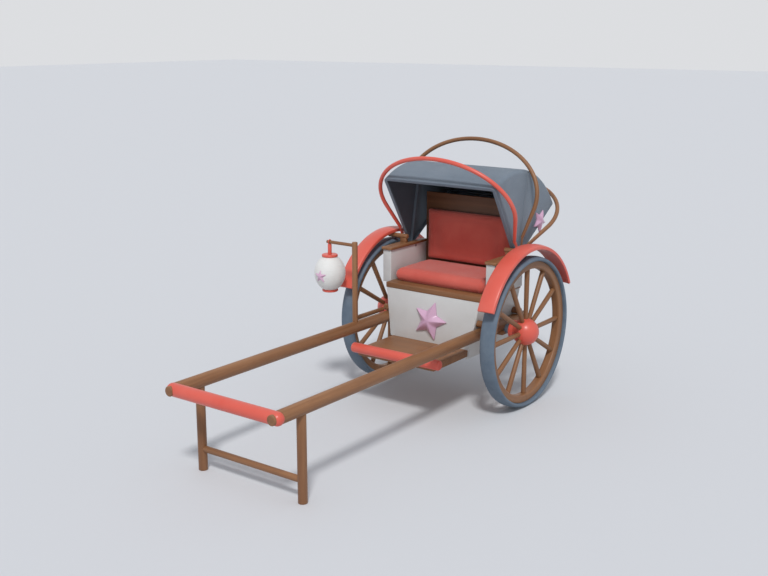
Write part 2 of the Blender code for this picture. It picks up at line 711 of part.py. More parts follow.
def make_arms():
    back = BACKREST_FACE + BACKREST_THICKNESS
    for name, side in SIDES:
        bounds = sorted((side * ARM_PANEL_INNER, side * ARM_PANEL_OUTER))
        low = (bounds[0], -ARM_PANEL_FRONT, SEAT_TOP - ARM_PANEL_LAP)
        high = (bounds[1], back, ARM_BOARD_UNDERSIDE - CONTACT_GAP)
        panel = add(f"arm_panel_{name}", box_mesh("arm_panel", low, high), "white_paint")
        boolean(panel, PIN_CUTTER, "DIFFERENCE")

        inner = ARM_BOARD_OUTER - ARM_BOARD_WIDTH
        centres = (
            (ARM_BOARD_OUTER - ARM_BOARD_ROUND, -ARM_BOARD_FRONT + ARM_BOARD_ROUND),
            (inner + ARM_BOARD_ROUND, -ARM_BOARD_FRONT + ARM_BOARD_ROUND),
        )
        outline = [
            *arc(centres[0], ARM_BOARD_ROUND, 0, math.radians(-90), 4),
            *arc(centres[1], ARM_BOARD_ROUND, math.radians(-90), math.radians(-180), 4),
            (inner, BACKREST_FACE - CONTACT_GAP),
            (ARM_BOARD_OUTER, BACKREST_FACE - CONTACT_GAP),
        ]
        outline = [(side * x, y) for x, y in outline]
        middle = ARM_BOARD_TOP - ARM_BOARD_THICKNESS / 2
        board_mesh = plate_mesh("arm_board", [outline], ARM_BOARD_THICKNESS)
        add(f"arm_board_{name}", board_mesh, "stained_wood", place=(0, 0, middle))


def make_fenders():
    """A crowned band over each wheel, hung on a stay that lies on the arm board."""
    inner = fender_inner_radius()
    middle = (FENDER_INNER_EDGE + FENDER_OUTER_EDGE) / 2
    half = (FENDER_OUTER_EDGE - FENDER_INNER_EDGE) / 2
    shares = [2 * step / FENDER_CROWN_STEPS - 1 for step in range(FENDER_CROWN_STEPS + 1)]
    for name, side in SIDES:
        outer_line = []
        for share in shares:
            crown = FENDER_CROWN * (1 - share * share)
            radius = inner + FENDER_THICKNESS + crown - FENDER_CROWN / 2
            outer_line.append((side * middle + half * share, radius))
        inner_line = [(x, radius - FENDER_THICKNESS) for x, radius in outer_line]
        lowest = min(radius for _, radius in inner_line)
        inner_line = [(x, radius + inner - lowest) for x, radius in inner_line]
        outer_line = [(x, radius + inner - lowest) for x, radius in outer_line]
        section = [*outer_line, *reversed(inner_line)]
        mesh = swept_mesh("fender", section, -FENDER_SWEEP / 2, FENDER_SWEEP, FENDER_STEPS)
        add(f"fender_{name}", mesh, "coral_paint", place=(0, 0, AXLE_HEIGHT))
        ends = [(side * x, -stay_forward(), STAY_HEIGHT) for x in (ARM_BOARD_OUTER - STAY_SEAT, middle)]
        add(f"fender_stay_{name}", rod_mesh("fender_stay", *ends, STAY_RADIUS), "stained_wood")


def bow_path():
    """Half an ellipse on two straight legs that run into it, in the bow's own XZ plane."""
    across = BOW_LEG_SPREAD / BOW_ARCH_HALF_WIDTH
    down = (LUG_LENGTH - BOW_ARCH_CENTRE) / BOW_ARCH_HALF_HEIGHT
    start = math.atan2(down, across) + math.acos(1 / math.hypot(across, down))
    points = [(BOW_LEG_SPREAD, 0, LUG_LENGTH)]
    for step in range(BOW_ARCH_STEPS + 1):
        angle = start + (math.pi - 2 * start) * step / BOW_ARCH_STEPS
        rise = BOW_ARCH_CENTRE + BOW_ARCH_HALF_HEIGHT * math.sin(angle)
        points.append((BOW_ARCH_HALF_WIDTH * math.cos(angle), 0, rise))
    return [*points, (-BOW_LEG_SPREAD, 0, LUG_LENGTH)]


def lug_mesh(name):
    """A flat lug with a round eye, upright in the YZ plane."""
    eye = arc((0, 0), LUG_HALF_WIDTH, math.radians(180), math.radians(360), 10)
    outline = [*eye, (LUG_HALF_WIDTH, LUG_LENGTH + LUG_LAP), (-LUG_HALF_WIDTH, LUG_LENGTH + LUG_LAP)]
    hole_radius = bore(PIN_RADIUS, gap=RUNNING_GAP)
    hole = arc((0, 0), hole_radius, 0, math.tau * (1 - 1 / ROUND_SIDES), ROUND_SIDES - 1)
    mesh = plate_mesh(name, [outline, hole], LUG_THICKNESS)
    mesh.transform(Matrix(((0, 0, 1, 0), (1, 0, 0, 0), (0, 1, 0, 0), (0, 0, 0, 1))))
    return mesh


def canopy_line(inset):
    """The hood's section this far inside its outer face: two sides down to the pins, and the roof."""
    half = CANOPY_HALF_WIDTH - inset
    roof = CANOPY_RADIUS - inset
    corner = CANOPY_CORNER - inset
    left_corner = arc((half - corner, roof - corner), corner, 0, math.radians(90), CANOPY_CORNER_STEPS)
    right_corner = [(-x, height) for x, height in reversed(left_corner)]
    eye = bore(PIN_RADIUS)
    return [(half, eye), *left_corner, *right_corner, (-half, eye)]


def make_hood():
    """Three bows on one pair of pins, their flat lugs side by side, and the two cloth panels between them."""
    # name, finish, tilt, place in the stack of lugs counted outwards
    bows = (
        ("rear", "stained_wood", BOW_REAR_TILT, 0),
        ("middle", "stained_wood", BOW_MIDDLE_TILT, 1),
        ("front", "coral_paint", BOW_FRONT_TILT, 2),
    )
    for name, finish, tilt, layer in bows:
        axis = new_empty(f"hood_{name}_axis", (0, PIVOT_BACK, PIVOT_HEIGHT), DATUM)
        axis.rotation_euler = (tilt, 0, 0)
        mesh = tube_mesh("bow", bow_path(), BOW_TUBE_RADIUS, BOW_TUBE_SIDES_STEP)
        bow = add(f"hood_bow_{name}", mesh, finish, parent=axis)
        for side_name, side in SIDES:
            out = LUG_STACK_START + layer * LUG_SPACING + LUG_THICKNESS / 2
            lug = add(f"lug_{name}_{side_name}", lug_mesh("lug"), parent=axis, place=(side * out, 0, 0))
            boolean(bow, lug, "UNION")

    outer = canopy_line(0)
    inner = canopy_line(CANOPY_THICKNESS)
    # name, tilt at its rear edge, tilt at its front edge
    panels = (
        ("front", BOW_MIDDLE_TILT + CANOPY_SEAM, CANOPY_FRONT_TILT),
        ("rear", CANOPY_REAR_TILT, BOW_MIDDLE_TILT - CANOPY_SEAM),
    )
    for name, rear, front in panels:
        mesh = swept_mesh("canopy", [*outer, *reversed(inner)], rear, front - rear, CANOPY_STEPS)
        add(f"canopy_{name}", mesh, "hood_cloth", place=(0, PIVOT_BACK, PIVOT_HEIGHT))

    for name, side in SIDES:
        start = (side * ARM_PANEL_INNER, PIVOT_BACK, PIVOT_HEIGHT)
        neck = (side * PIN_END, PIVOT_BACK, PIVOT_HEIGHT)
        end = (side * (PIN_END + PIN_HEAD_THICKNESS / 2), PIVOT_BACK, PIVOT_HEIGHT)
        cap = (side * (PIN_END + PIN_HEAD_THICKNESS), PIVOT_BACK, PIVOT_HEIGHT)
        pin = add(f"hood_pin_{name}", rod_mesh("hood_pin", start, end, PIN_RADIUS), "axle_steel")
        boolean(pin, add(f"pin_head_{name}", rod_mesh("pin_head", neck, cap, PIN_HEAD_RADIUS)), "UNION")


def make_lantern():
    """A post and arm on the right shaft, and the paper lantern that swings from the arm."""
    out = -SHAFT_SPACING_HALF
    forward = lantern_reach()
    foot = (out, -forward, shaft_height(forward))
    post_mesh = rod_mesh("post", foot, (out, -forward, POST_TOP), POST_RADIUS)
    post = add("lantern_post", post_mesh, "stained_wood")
    boolean(post, SHAFT_CUTTERS["right"], "DIFFERENCE")
    arm_ends = [(-x, -forward, LANTERN_ARM_HEIGHT) for x in (SHAFT_SPACING_HALF, LANTERN_ARM_END)]
    boolean(post, add("lantern_arm", rod_mesh("lantern_arm", *arm_ends, LANTERN_ARM_RADIUS)), "UNION")

    axis = new_empty("lantern_axis", (-LANTERN_OUT, -forward, LANTERN_ARM_HEIGHT), DATUM)
    middle = LANTERN_MIDDLE - LANTERN_ARM_HEIGHT
    cut = GLOBE_CUT_SHARE * GLOBE_HALF_HEIGHT
    placing = {"steps": GLOBE_STEPS, "parent": axis, "place": (0, 0, middle)}
    turned("lantern_globe", globe_profile(), "lantern_paper", **placing)

    half = LANTERN_CAP_THICKNESS / 2
    for name, way in (("top", 1), ("bottom", -1)):
        edge = LANTERN_CAP_RADIUS - LANTERN_CAP_ROUND
        profile = [
            (0, half),
            (edge, half),
            (LANTERN_CAP_RADIUS, half - LANTERN_CAP_ROUND),
            (LANTERN_CAP_RADIUS, LANTERN_CAP_ROUND - half),
            (edge, -half),
            (0, -half),
        ]
        height = middle + way * (cut + half + CONTACT_GAP)
        turned(f"lantern_cap_{name}", profile, "coral_paint", parent=axis, place=(0, 0, height))

    loop_radius = LANTERN_ARM_RADIUS + RUNNING_GAP + LOOP_WIRE_RADIUS
    section = arc((0, loop_radius), LOOP_WIRE_RADIUS, 0, math.tau * (1 - 1 / LOOP_SIDES), LOOP_SIDES - 1)
    loop = turned(
        "lantern_hanger",
        [(radius, along) for along, radius in section],
        "coral_paint",
        closed=True,
        steps=LOOP_STEPS,
        parent=axis,
        turn=Matrix.Rotation(math.radians(90), 4, "Y"),
    )
    foot_height = middle + cut + LANTERN_CAP_THICKNESS + 2 * CONTACT_GAP
    stem = rod_mesh("stem", (0, 0, foot_height), (0, 0, -loop_radius), HANGER_RADIUS, LOOP_WIRE_RADIUS)
    boolean(loop, add("lantern_stem", stem, parent=axis), "UNION")

    drop = -LANTERN_STAR_DROP
    face = GLOBE_RADIUS * math.sqrt(1 - (drop / GLOBE_HALF_HEIGHT) ** 2)
    turn = Matrix.Rotation(math.radians(90), 4, "X")
    place = (0, -(face - LANTERN_STAR_SINK), middle + drop)
    thickness = LANTERN_STAR_THICKNESS + LANTERN_STAR_SINK
    star = add_star("lantern_star", LANTERN_STAR_RADIUS, thickness, parent=axis, place=place, turn=turn)
    grown = [(radius * (1 + CONTACT_GAP / GLOBE_RADIUS), height) for radius, height in globe_profile()]
    cutter = turned("globe_cutter", grown, None, **placing)
    boolean(star, cutter, "DIFFERENCE")


def globe_profile():
    """The paper globe's outline, cut flat at its top and bottom."""
    turn_end = math.asin(GLOBE_CUT_SHARE)
    points = [(0, GLOBE_CUT_SHARE * GLOBE_HALF_HEIGHT)]
    for step in range(GLOBE_RINGS + 1):
        angle = turn_end - 2 * turn_end * step / GLOBE_RINGS
        points.append((GLOBE_RADIUS * math.cos(angle), GLOBE_HALF_HEIGHT * math.sin(angle)))
    points.append((0, -GLOBE_CUT_SHARE * GLOBE_HALF_HEIGHT))
    return points


def make_stars():
    lean = math.atan(BOX_FRONT_LEAN)
    face = box_front(FRONT_STAR_HEIGHT) - CONTACT_GAP / math.cos(lean)
    turn = Matrix.Rotation(math.radians(90) - lean, 4, "X") @ Matrix.Rotation(FRONT_STAR_TURN, 4, "Z")
    place = (0, face, FRONT_STAR_HEIGHT)
    add_star("front_star", FRONT_STAR_RADIUS, FRONT_STAR_THICKNESS, place=place, turn=turn)
    y = PIVOT_BACK - CANOPY_STAR_OUT * math.sin(CANOPY_STAR_TILT)
    z = PIVOT_HEIGHT + CANOPY_STAR_OUT * math.cos(CANOPY_STAR_TILT)
    turn = Matrix.Rotation(math.radians(90), 4, "Y") @ Matrix.Rotation(FRONT_STAR_TURN, 4, "Z")
    place = (CANOPY_HALF_WIDTH + CONTACT_GAP, y, z)
    add_star("canopy_star", CANOPY_STAR_RADIUS, CANOPY_STAR_THICKNESS, place=place, turn=turn)


clear_scene()
SHARP_ANGLE = math.radians(35)
PARTS = new_collection("pulled_rickshaw")
CUTTERS = new_collection("cutters")
MATERIALS = {name: new_finish(name) for name in FINISHES}
# The datum is on the floor under the axle; it stands off the origin so that the origin is mid-way
# between the outermost points of the whole vehicle.
LEFT_REACH = WHEEL_SPACING_HALF + HUB_RADIUS
RIGHT_REACH = LANTERN_OUT + GLOBE_RADIUS
DATUM = new_empty("axle_foot", ((RIGHT_REACH - LEFT_REACH) / 2, (SHAFT_TIP - rear_reach()) / 2, 0))
AXLE_CUTTER = add(
    "axle_cutter",
    rod_mesh(
        "axle_cutter",
        (-WHEEL_SPACING_HALF, 0, AXLE_HEIGHT),
        (WHEEL_SPACING_HALF, 0, AXLE_HEIGHT),
        bore(AXLE_RADIUS),
    ),
)
PIN_CUTTER = add(
    "pin_cutter",
    rod_mesh(
        "pin_cutter",
        (-PIN_END, PIVOT_BACK, PIVOT_HEIGHT),
        (PIN_END, PIVOT_BACK, PIVOT_HEIGHT),
        bore(PIN_RADIUS),
    ),
)
SHAFT_CUTTERS = {
    name: add(
        f"shaft_cutter_{name}",
        rod_mesh(
            "shaft_cutter",
            shaft_end(side, -SHAFT_TAIL),
            shaft_end(side, SHAFT_TIP),
            bore(SHAFT_RADIUS),
        ),
    )
    for name, side in SIDES
}
make_shafts()
make_axle()
make_stand()
make_seat_box()
make_footboard()
make_upholstery()
make_arms()
for wheel_name, wheel_side in SIDES:
    make_wheel(wheel_name, wheel_side)
make_fenders()
make_hood()
make_lantern()
make_stars()
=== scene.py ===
"""Finishes the pulled rickshaw: wood, painted panels, wheels, cushions, cloth hood and lantern."""

import math

import bmesh
import bpy
from mathutils import Matrix, Vector


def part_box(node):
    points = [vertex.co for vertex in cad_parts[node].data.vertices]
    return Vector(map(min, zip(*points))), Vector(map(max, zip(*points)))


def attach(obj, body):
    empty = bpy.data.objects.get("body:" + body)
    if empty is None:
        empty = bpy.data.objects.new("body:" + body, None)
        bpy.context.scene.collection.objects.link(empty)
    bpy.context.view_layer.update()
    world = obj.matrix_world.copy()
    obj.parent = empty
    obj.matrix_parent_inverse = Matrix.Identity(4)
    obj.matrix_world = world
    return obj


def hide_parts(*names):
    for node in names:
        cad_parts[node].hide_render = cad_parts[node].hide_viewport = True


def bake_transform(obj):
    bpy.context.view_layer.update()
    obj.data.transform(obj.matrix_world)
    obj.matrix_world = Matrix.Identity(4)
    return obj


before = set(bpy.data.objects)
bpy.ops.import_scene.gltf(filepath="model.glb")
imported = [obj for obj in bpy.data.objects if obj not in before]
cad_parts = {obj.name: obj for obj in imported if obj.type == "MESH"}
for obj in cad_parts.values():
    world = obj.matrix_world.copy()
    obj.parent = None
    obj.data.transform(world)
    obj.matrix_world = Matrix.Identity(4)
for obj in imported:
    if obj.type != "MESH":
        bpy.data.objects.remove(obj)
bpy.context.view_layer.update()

AXLE_LOW, AXLE_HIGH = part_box("axle")
AXLE_HEIGHT = (AXLE_LOW.z + AXLE_HIGH.z) / 2
FOOT = Vector(((AXLE_LOW.x + AXLE_HIGH.x) / 2, (AXLE_LOW.y + AXLE_HIGH.y) / 2, 0))
SIDEWAYS = Vector((1, 0, 0))
LENGTHWAYS = Vector((0, 1, 0))
UPWARDS = Vector((0, 0, 1))


def at(x, y, z):
    """A place measured from the floor under the middle of the axle."""
    return FOOT + Vector((x, y, z))


# Finishes


class Signal:
    """A socket in a finish, on which sums can be written."""

    def __init__(self, finish, socket):
        self.finish = finish
        self.socket = socket

    def worked(self, operation, first, second):
        return self.finish.node("ShaderNodeMath", {"operation": operation}, {0: first, 1: second})

    def __add__(self, other):
        return self.worked("ADD", self, other)

    def __sub__(self, other):
        return self.worked("SUBTRACT", self, other)

    def __rsub__(self, other):
        return self.worked("SUBTRACT", other, self)

    def __mul__(self, other):
        return self.worked("MULTIPLY", self, other)

    __radd__ = __add__
    __rmul__ = __mul__


class Finish:
    """One finish: a Principled shader and the nodes that vary it over the surface."""

    def __init__(self, name, slot, constants):
        self.slot = slot
        self.material = bpy.data.materials.new(name)
        self.material.use_nodes = True
        self.tree = self.material.node_tree
        self.shader = self.tree.nodes["Principled BSDF"]
        for socket, value in constants.items():
            self.shader.inputs[socket].default_value = value

    def node(self, kind, settings=(), sockets=(), out=0):
        made = self.tree.nodes.new(kind)
        for name, value in dict(settings).items():
            if name == "stops":
                for element, (place, shade) in zip(made.color_ramp.elements, value):
                    element.position = place
                    element.color = (shade, shade, shade, 1)
            else:
                setattr(made, name, value)
        for key, value in dict(sockets).items():
            if isinstance(value, Signal):
                self.tree.links.new(value.socket, made.inputs[key])
            else:
                made.inputs[key].default_value = value
        return Signal(self, made.outputs[out])

    def place(self):
        return self.node("ShaderNodeTexCoord", out=3)

    def stored(self, name):
        return self.node("ShaderNodeAttribute", {"attribute_name": name}, out=1)

    def stretched(self, where, scale):
        return self.node("ShaderNodeVectorMath", {"operation": "MULTIPLY"}, {0: where, 1: scale})

    def noise(self, where, scale, detail=3, roughness=0.55):
        return self.node(
            "ShaderNodeTexNoise",
            {"noise_dimensions": "3D"},
            {"Vector": where, "Scale": scale, "Detail": detail, "Roughness": roughness},
        )

    def ramp(self, value, low, high, low_shade=0, high_shade=1):
        stops = ((low, low_shade), (high, high_shade))
        return self.node("ShaderNodeValToRGB", {"stops": stops}, {0: value})

    def split(self, where, axis):
        return self.node("ShaderNodeSeparateXYZ", sockets={0: where}, out=axis)

    def threads(self, value, pitch):
        return self.node("ShaderNodeMath", {"operation": "SINE"}, {0: value * (math.tau / pitch)})

    def mix(self, share, first, second):
        return self.node("ShaderNodeMix", {"data_type": "RGBA"}, {0: share, 6: first, 7: second}, out=2)

    def feed(self, socket, value):
        self.tree.links.new(value.socket, self.shader.inputs[socket])

    def bump(self, height, depth, strength=1):
        sockets = {"Height": height, "Distance": depth, "Strength": strength}
        self.feed("Normal", self.node("ShaderNodeBump", sockets=sockets))


def colour(red, green, blue):
    return (red, green, blue, 1)


def wood_finish(name, dark, middle, light, roughness):
    """Stained wood under a thin varnish: streaks and pores that run along the stored grain."""
    finish = Finish(name, "stained_wood", {"Specular IOR Level": 0.4, "Coat Roughness": 0.25})
    grain = finish.stored("grain")
    streaks = finish.noise(finish.stretched(grain, (1.1, 26, 26)), 1, 4, 0.6)
    pores = finish.noise(finish.stretched(grain, (16, 520, 520)), 1, 2, 0.5)
    clouds = finish.noise(grain, 3.2, 2)
    body = finish.mix(finish.ramp(streaks, 0.34, 0.66), dark, light)
    body = finish.mix(0.45, body, middle)
    body = finish.mix(finish.ramp(clouds, 0.35, 0.7, 0, 0.35), body, dark)
    finish.feed("Base Color", finish.mix(finish.ramp(pores, 0.58, 0.75, 0, 0.45), body, dark))
    finish.feed("Roughness", roughness + (streaks - 0.5) * 0.22 + (clouds - 0.5) * 0.12)
    finish.bump(streaks * 0.4 - finish.ramp(pores, 0.55, 0.8) * 0.6, 0.0005)
    return finish


def paint_finish(name, body, faded, roughness):
    """Brushed enamel paint: a little uneven in tone, with a fine skin and soft dull patches."""
    finish = Finish(name, name, {"Specular IOR Level": 0.45, "Coat Weight": 0.12, "Coat Roughness": 0.2})
    where = finish.place()
    clouds = finish.noise(where, 4.5, 3)
    scuffs = finish.noise(where, 38, 5, 0.65)
    skin = finish.noise(where, 210, 2, 0.5)
    tone = finish.mix(finish.ramp(clouds, 0.3, 0.72), body, faded)
    finish.feed("Base Color", finish.mix(finish.ramp(scuffs, 0.62, 0.8, 0, 0.22), tone, faded))
    finish.feed("Roughness", roughness + (clouds - 0.5) * 0.16 + finish.ramp(scuffs, 0.55, 0.8, 0, 0.16))
    finish.bump(skin + clouds * 0.4, 0.00018)
    return finish


def cloth_finish(name, slot, body, worn, pitch, roughness, sheen):
    """Plain woven cloth: two sets of threads, a soft nap and slow changes of tone."""
    finish = Finish(
        name,
        slot,
        {"Specular IOR Level": 0.22, "Sheen Weight": sheen, "Sheen Roughness": 0.45},
    )
    where = finish.place()
    across = finish.threads(finish.split(where, 0), pitch)
    along = finish.threads(finish.split(where, 1), pitch)
    upward = finish.threads(finish.split(where, 2), pitch)
    weave = across * along + across * upward + along * upward
    nap = finish.noise(where, 900, 2, 0.6)
    clouds = finish.noise(where, 5.5, 4, 0.6)
    tone = finish.mix(finish.ramp(clouds, 0.3, 0.72), body, worn)
    finish.feed("Base Color", finish.mix(finish.ramp(weave, -0.2, 1.4, 0, 0.16), tone, worn))
    finish.feed("Roughness", roughness + (clouds - 0.5) * 0.18 + (nap - 0.5) * 0.08)
    finish.bump(weave * 0.5 + nap * 0.6, 0.0004)
    return finish


def rubber_finish():
    """Blue-grey solid rubber: fine grit in the skin, chalky patches and a dull tread."""
    finish = Finish("tyre_rubber", "tyre_rubber", {"Specular IOR Level": 0.35})
    where = finish.place()
    grit = finish.noise(where, 420, 3, 0.6)
    chalk = finish.noise(where, 13, 5, 0.6)
    dark, chalky = colour(0.104, 0.143, 0.192), colour(0.152, 0.195, 0.242)
    tone = finish.mix(finish.ramp(chalk, 0.35, 0.75), dark, chalky)
    finish.feed("Base Color", tone)
    finish.feed("Roughness", 0.58 + (chalk - 0.5) * 0.3)
    finish.bump(grit + chalk * 0.5, 0.0004)
    return finish


def steel_finish():
    """Dark blued steel with faint rubbed marks."""
    finish = Finish("axle_steel", "axle_steel", {"Metallic": 0.6, "Specular IOR Level": 0.5})
    where = finish.place()
    rub = finish.noise(where, 60, 5, 0.65)
    tone = finish.mix(finish.ramp(rub, 0.35, 0.7), colour(0.130, 0.165, 0.215), colour(0.230, 0.275, 0.330))
    finish.feed("Base Color", tone)
    finish.feed("Roughness", 0.38 + (rub - 0.5) * 0.3)
    finish.bump(rub, 0.0001)
    return finish


def paper_finish():
    """Lantern paper: matt and slowly varied in tone, with loose fibres that are a little darker."""
    finish = Finish("lantern_paper", "lantern_paper", {"Specular IOR Level": 0.25, "Sheen Weight": 0.15})
    where = finish.place()
    fibres = finish.noise(finish.stretched(where, (1, 1, 2.5)), 130, 5, 0.7)
    clouds = finish.noise(where, 16, 3)
    light, dull, fibre = colour(0.780, 0.775, 0.750), colour(0.730, 0.720, 0.690), colour(0.640, 0.620, 0.580)
    tone = finish.mix(finish.ramp(clouds, 0.3, 0.7), light, dull)
    finish.feed("Base Color", finish.mix(finish.ramp(fibres, 0.56, 0.7, 0, 0.2), tone, fibre))
    finish.feed("Roughness", 0.74 + (clouds - 0.5) * 0.15)
    finish.bump(fibres, 0.00015)
    return finish


WOOD = wood_finish(
    "stained_wood",
    colour(0.165, 0.070, 0.029),
    colour(0.275, 0.126, 0.054),
    colour(0.360, 0.180, 0.084),
    0.42,
)
# Painted shade: a darker copy of the stained wood for the backrest board, standing in for the hood's shadow
# on it.
SHADED_BACKREST_WOOD = wood_finish(
    "backrest_wood",
    colour(0.110, 0.042, 0.018),
    colour(0.180, 0.074, 0.033),
    colour(0.235, 0.103, 0.050),
    0.48,
)
CORAL = paint_finish("coral_paint", colour(0.670, 0.092, 0.060), colour(0.720, 0.130, 0.092), 0.36)
WHITE = paint_finish("white_paint", colour(0.640, 0.645, 0.635), colour(0.585, 0.585, 0.570), 0.46)
PINK = paint_finish("pink_enamel", colour(0.590, 0.350, 0.500), colour(0.650, 0.420, 0.560), 0.34)
RED_CLOTH = cloth_finish(
    "red_cloth", "red_cloth", colour(0.620, 0.100, 0.072), colour(0.700, 0.145, 0.108), 0.0022, 0.72, 0.32
)
HOOD_CLOTH = cloth_finish(
    "hood_cloth", "hood_cloth", colour(0.148, 0.187, 0.231), colour(0.192, 0.232, 0.279), 0.0030, 0.66, 0.18
)
# Painted shade: a darker copy of the hood cloth for the hood's inner faces, standing in for the shade inside
# the hood.
HOOD_PAINTED_SHADE = cloth_finish(
    "hood_lining", "hood_cloth", colour(0.078, 0.102, 0.126), colour(0.098, 0.124, 0.150), 0.0030, 0.72, 0.10
)
RUBBER = rubber_finish()
STEEL = steel_finish()
PAPER = paper_finish()


# Ways of working


def alone(obj):
    bpy.ops.object.select_all(action="DESELECT")
    obj.select_set(True)
    bpy.context.view_layer.objects.active = obj


def begun(name):
    """The primitive just added, named."""
    piece = bpy.context.active_object
    piece.name = name
    alone(piece)
    return piece


def settled(piece):
    """Puts the piece's place and turn into its mesh."""
    alone(piece)
    bpy.ops.object.transform_apply(location=True, rotation=True, scale=True)
    return piece


def opened(piece, mode="FACE"):
    alone(piece)
    bpy.ops.object.mode_set(mode="EDIT")
    bpy.ops.mesh.select_mode(type=mode)
    bpy.ops.mesh.select_all(action="DESELECT")
    return bmesh.from_edit_mesh(piece.data)


def closed(piece):
    bpy.ops.object.mode_set(mode="OBJECT")
    return piece


def pick_faces(piece, test):
    bm = opened(piece)
    for face in bm.faces:
        face.select_set(test(face))
    bmesh.update_edit_mesh(piece.data)


def face_outwards():
    """Makes all faces of the piece that is open look outwards."""
    bpy.ops.mesh.select_all(action="SELECT")
    bpy.ops.mesh.normals_make_consistent(inside=False)


def eased(piece, width, segments=3, angle=50):
    """Rounds every edge sharper than the angle."""
    opened(piece, "EDGE")
    bpy.ops.mesh.edges_select_sharp(sharpness=math.radians(angle))
    bpy.ops.mesh.bevel(
        offset=width, offset_type="OFFSET", segments=segments, affect="EDGES", clamp_overlap=True
    )
    return closed(piece)


def smooth(piece, angle=35):
    alone(piece)
    bpy.ops.object.shade_smooth_by_angle(angle=math.radians(angle))
    return piece


def shaped_by(piece, kind, **settings):
    alone(piece)
    modifier = piece.modifiers.new(kind.lower(), kind)
    for name, value in settings.items():
        setattr(modifier, name, value)
    bpy.ops.object.modifier_apply(modifier=modifier.name)
    return piece


def lay_grain(piece, where):
    """Stores how far each point lies along and across the grain, in metres."""
    shift = Vector((sum(map(ord, piece.name)) % 37, len(piece.name), 0)) / 7
    layer = piece.data.attributes.new("grain", "FLOAT_VECTOR", "POINT")
    for vert, value in zip(piece.data.vertices, layer.data):
        value.vector = where(vert.co) + shift
    return piece


def straight_grain(piece, along):
    turn = along.to_track_quat("X", "Z").to_matrix().inverted()
    return lay_grain(piece, lambda point: turn @ point)


def twin(piece, name):
    """A copy of a left-hand piece on the right-hand side."""
    alone(piece)
    bpy.ops.object.duplicate(linked=False)
    other = begun(name)
    mirror = Matrix.Diagonal((-1, 1, 1, 1))
    other.data.transform(Matrix.Translation(FOOT) @ mirror @ Matrix.Translation(-FOOT))
    opened(other)
    bpy.ops.mesh.select_all(action="SELECT")
    bpy.ops.mesh.flip_normals()
    return closed(other)


def joined(name, pieces):
    bpy.ops.object.select_all(action="DESELECT")
    for piece in pieces:
        piece.select_set(True)
    bpy.context.view_layer.objects.active = pieces[0]
    bpy.ops.object.join()
    return begun(name)


def dressed(piece, finish, body, *nodes):
    """Gives a finished piece its material and its place in the frame."""
    piece.data.materials.clear()
    piece.data.materials.append(finish.material)
    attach(piece, body)
    if nodes:
        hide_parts(*nodes)
    return piece


def both_sides(piece, stem, finish, body="root"):
    """Dresses a left-hand piece and its twin on the right."""
    other = twin(piece, f"right_{stem}")
    for side, one in (("left", piece), ("right", other)):
        dressed(one, finish, f"wheel_{side}" if body == "wheel" else body, f"{stem}_{side}")


def rod(name, start, end, radius, end_radius=None, sides=40, ease=0.003):
    """A turned rod between two places, with eased ends."""
    along = end - start
    bpy.ops.mesh.primitive_cone_add(
        vertices=sides,
        radius1=radius,
        radius2=radius if end_radius is None else end_radius,
        depth=along.length,
        location=(start + end) / 2,
        rotation=along.to_track_quat("Z", "Y").to_euler(),
    )
    piece = settled(begun(name))
    eased(piece, ease)
    return smooth(straight_grain(piece, along))


def rod_for(node, name, radius, ease=0.003, overhang=0):
    """A rod from side to side through the middle of a node's box."""
    low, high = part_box(node)
    middle = (low + high) / 2
    start = Vector((low.x - overhang, middle.y, middle.z))
    end = Vector((high.x + overhang, middle.y, middle.z))
    return rod(name, start, end, radius, ease=ease)


def eased_copy(node, name, width, along=SIDEWAYS):
    """The frame's own piece, welded and with its edges eased."""
    alone(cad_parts[node])
    bpy.ops.object.duplicate(linked=False)
    piece = begun(name)
    for key in [key for key in piece.keys() if key.startswith("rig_")]:
        del piece[key]
    matrix = piece.matrix_world.copy()
    piece.parent = None
    piece.matrix_world = matrix
    settled(piece)
    opened(piece)
    bpy.ops.mesh.select_all(action="SELECT")
    bpy.ops.mesh.remove_doubles(threshold=0.00002)
    bpy.ops.mesh.dissolve_limited(angle_limit=math.radians(1))
    closed(piece)
    eased(piece, width)
    return smooth(straight_grain(piece, along))


def turned(name, profile, centre, axis, outward, sweep=math.tau, steps=96):
    """Turns a closed outline of (distance from the axis, place along it) points about an axis."""
    whole = sweep >= math.tau - 0.001
    bpy.ops.mesh.primitive_circle_add(
        vertices=len(profile), fill_type="NOTHING" if whole else "NGON", location=(0, 0, 0)
    )
    piece = begun(name)
    for vert, (radius, along) in zip(piece.data.vertices, profile):
        vert.co = centre + outward * radius + axis * along
    opened(piece, "VERT")
    bpy.ops.mesh.select_all(action="SELECT")
    bpy.ops.mesh.spin(steps=steps, angle=sweep, center=centre, axis=-axis)
    bpy.ops.mesh.select_all(action="SELECT")
    bpy.ops.mesh.remove_doubles(threshold=0.00001)
    bpy.ops.mesh.dissolve_degenerate(threshold=0.00001)
    bpy.ops.mesh.select_all(action="SELECT")
    bpy.ops.mesh.delete_loose(use_verts=True, use_edges=True, use_faces=False)
    face_outwards()
    return closed(piece)


def plate(name, corners, low, high):
    """A board of this outline, from its lower face to its upper one."""
    bpy.ops.mesh.primitive_circle_add(vertices=len(corners), fill_type="NGON", location=(0, 0, 0))
    piece = begun(name)
    for vert, (x, y) in zip(piece.data.vertices, corners):
        vert.co = at(x, y, low)
    opened(piece)
    bpy.ops.mesh.select_all(action="SELECT")
    bpy.ops.mesh.extrude_region_move(TRANSFORM_OT_translate={"value": (0, 0, high - low)})
    face_outwards()
    return closed(piece)


def arc(centre, radius, start, end, steps):
    angles = [math.radians(start + (end - start) * step / steps) for step in range(steps + 1)]
    return [(centre[0] + radius * math.cos(angle), centre[1] + radius * math.sin(angle)) for angle in angles]


# Camera, floor and light

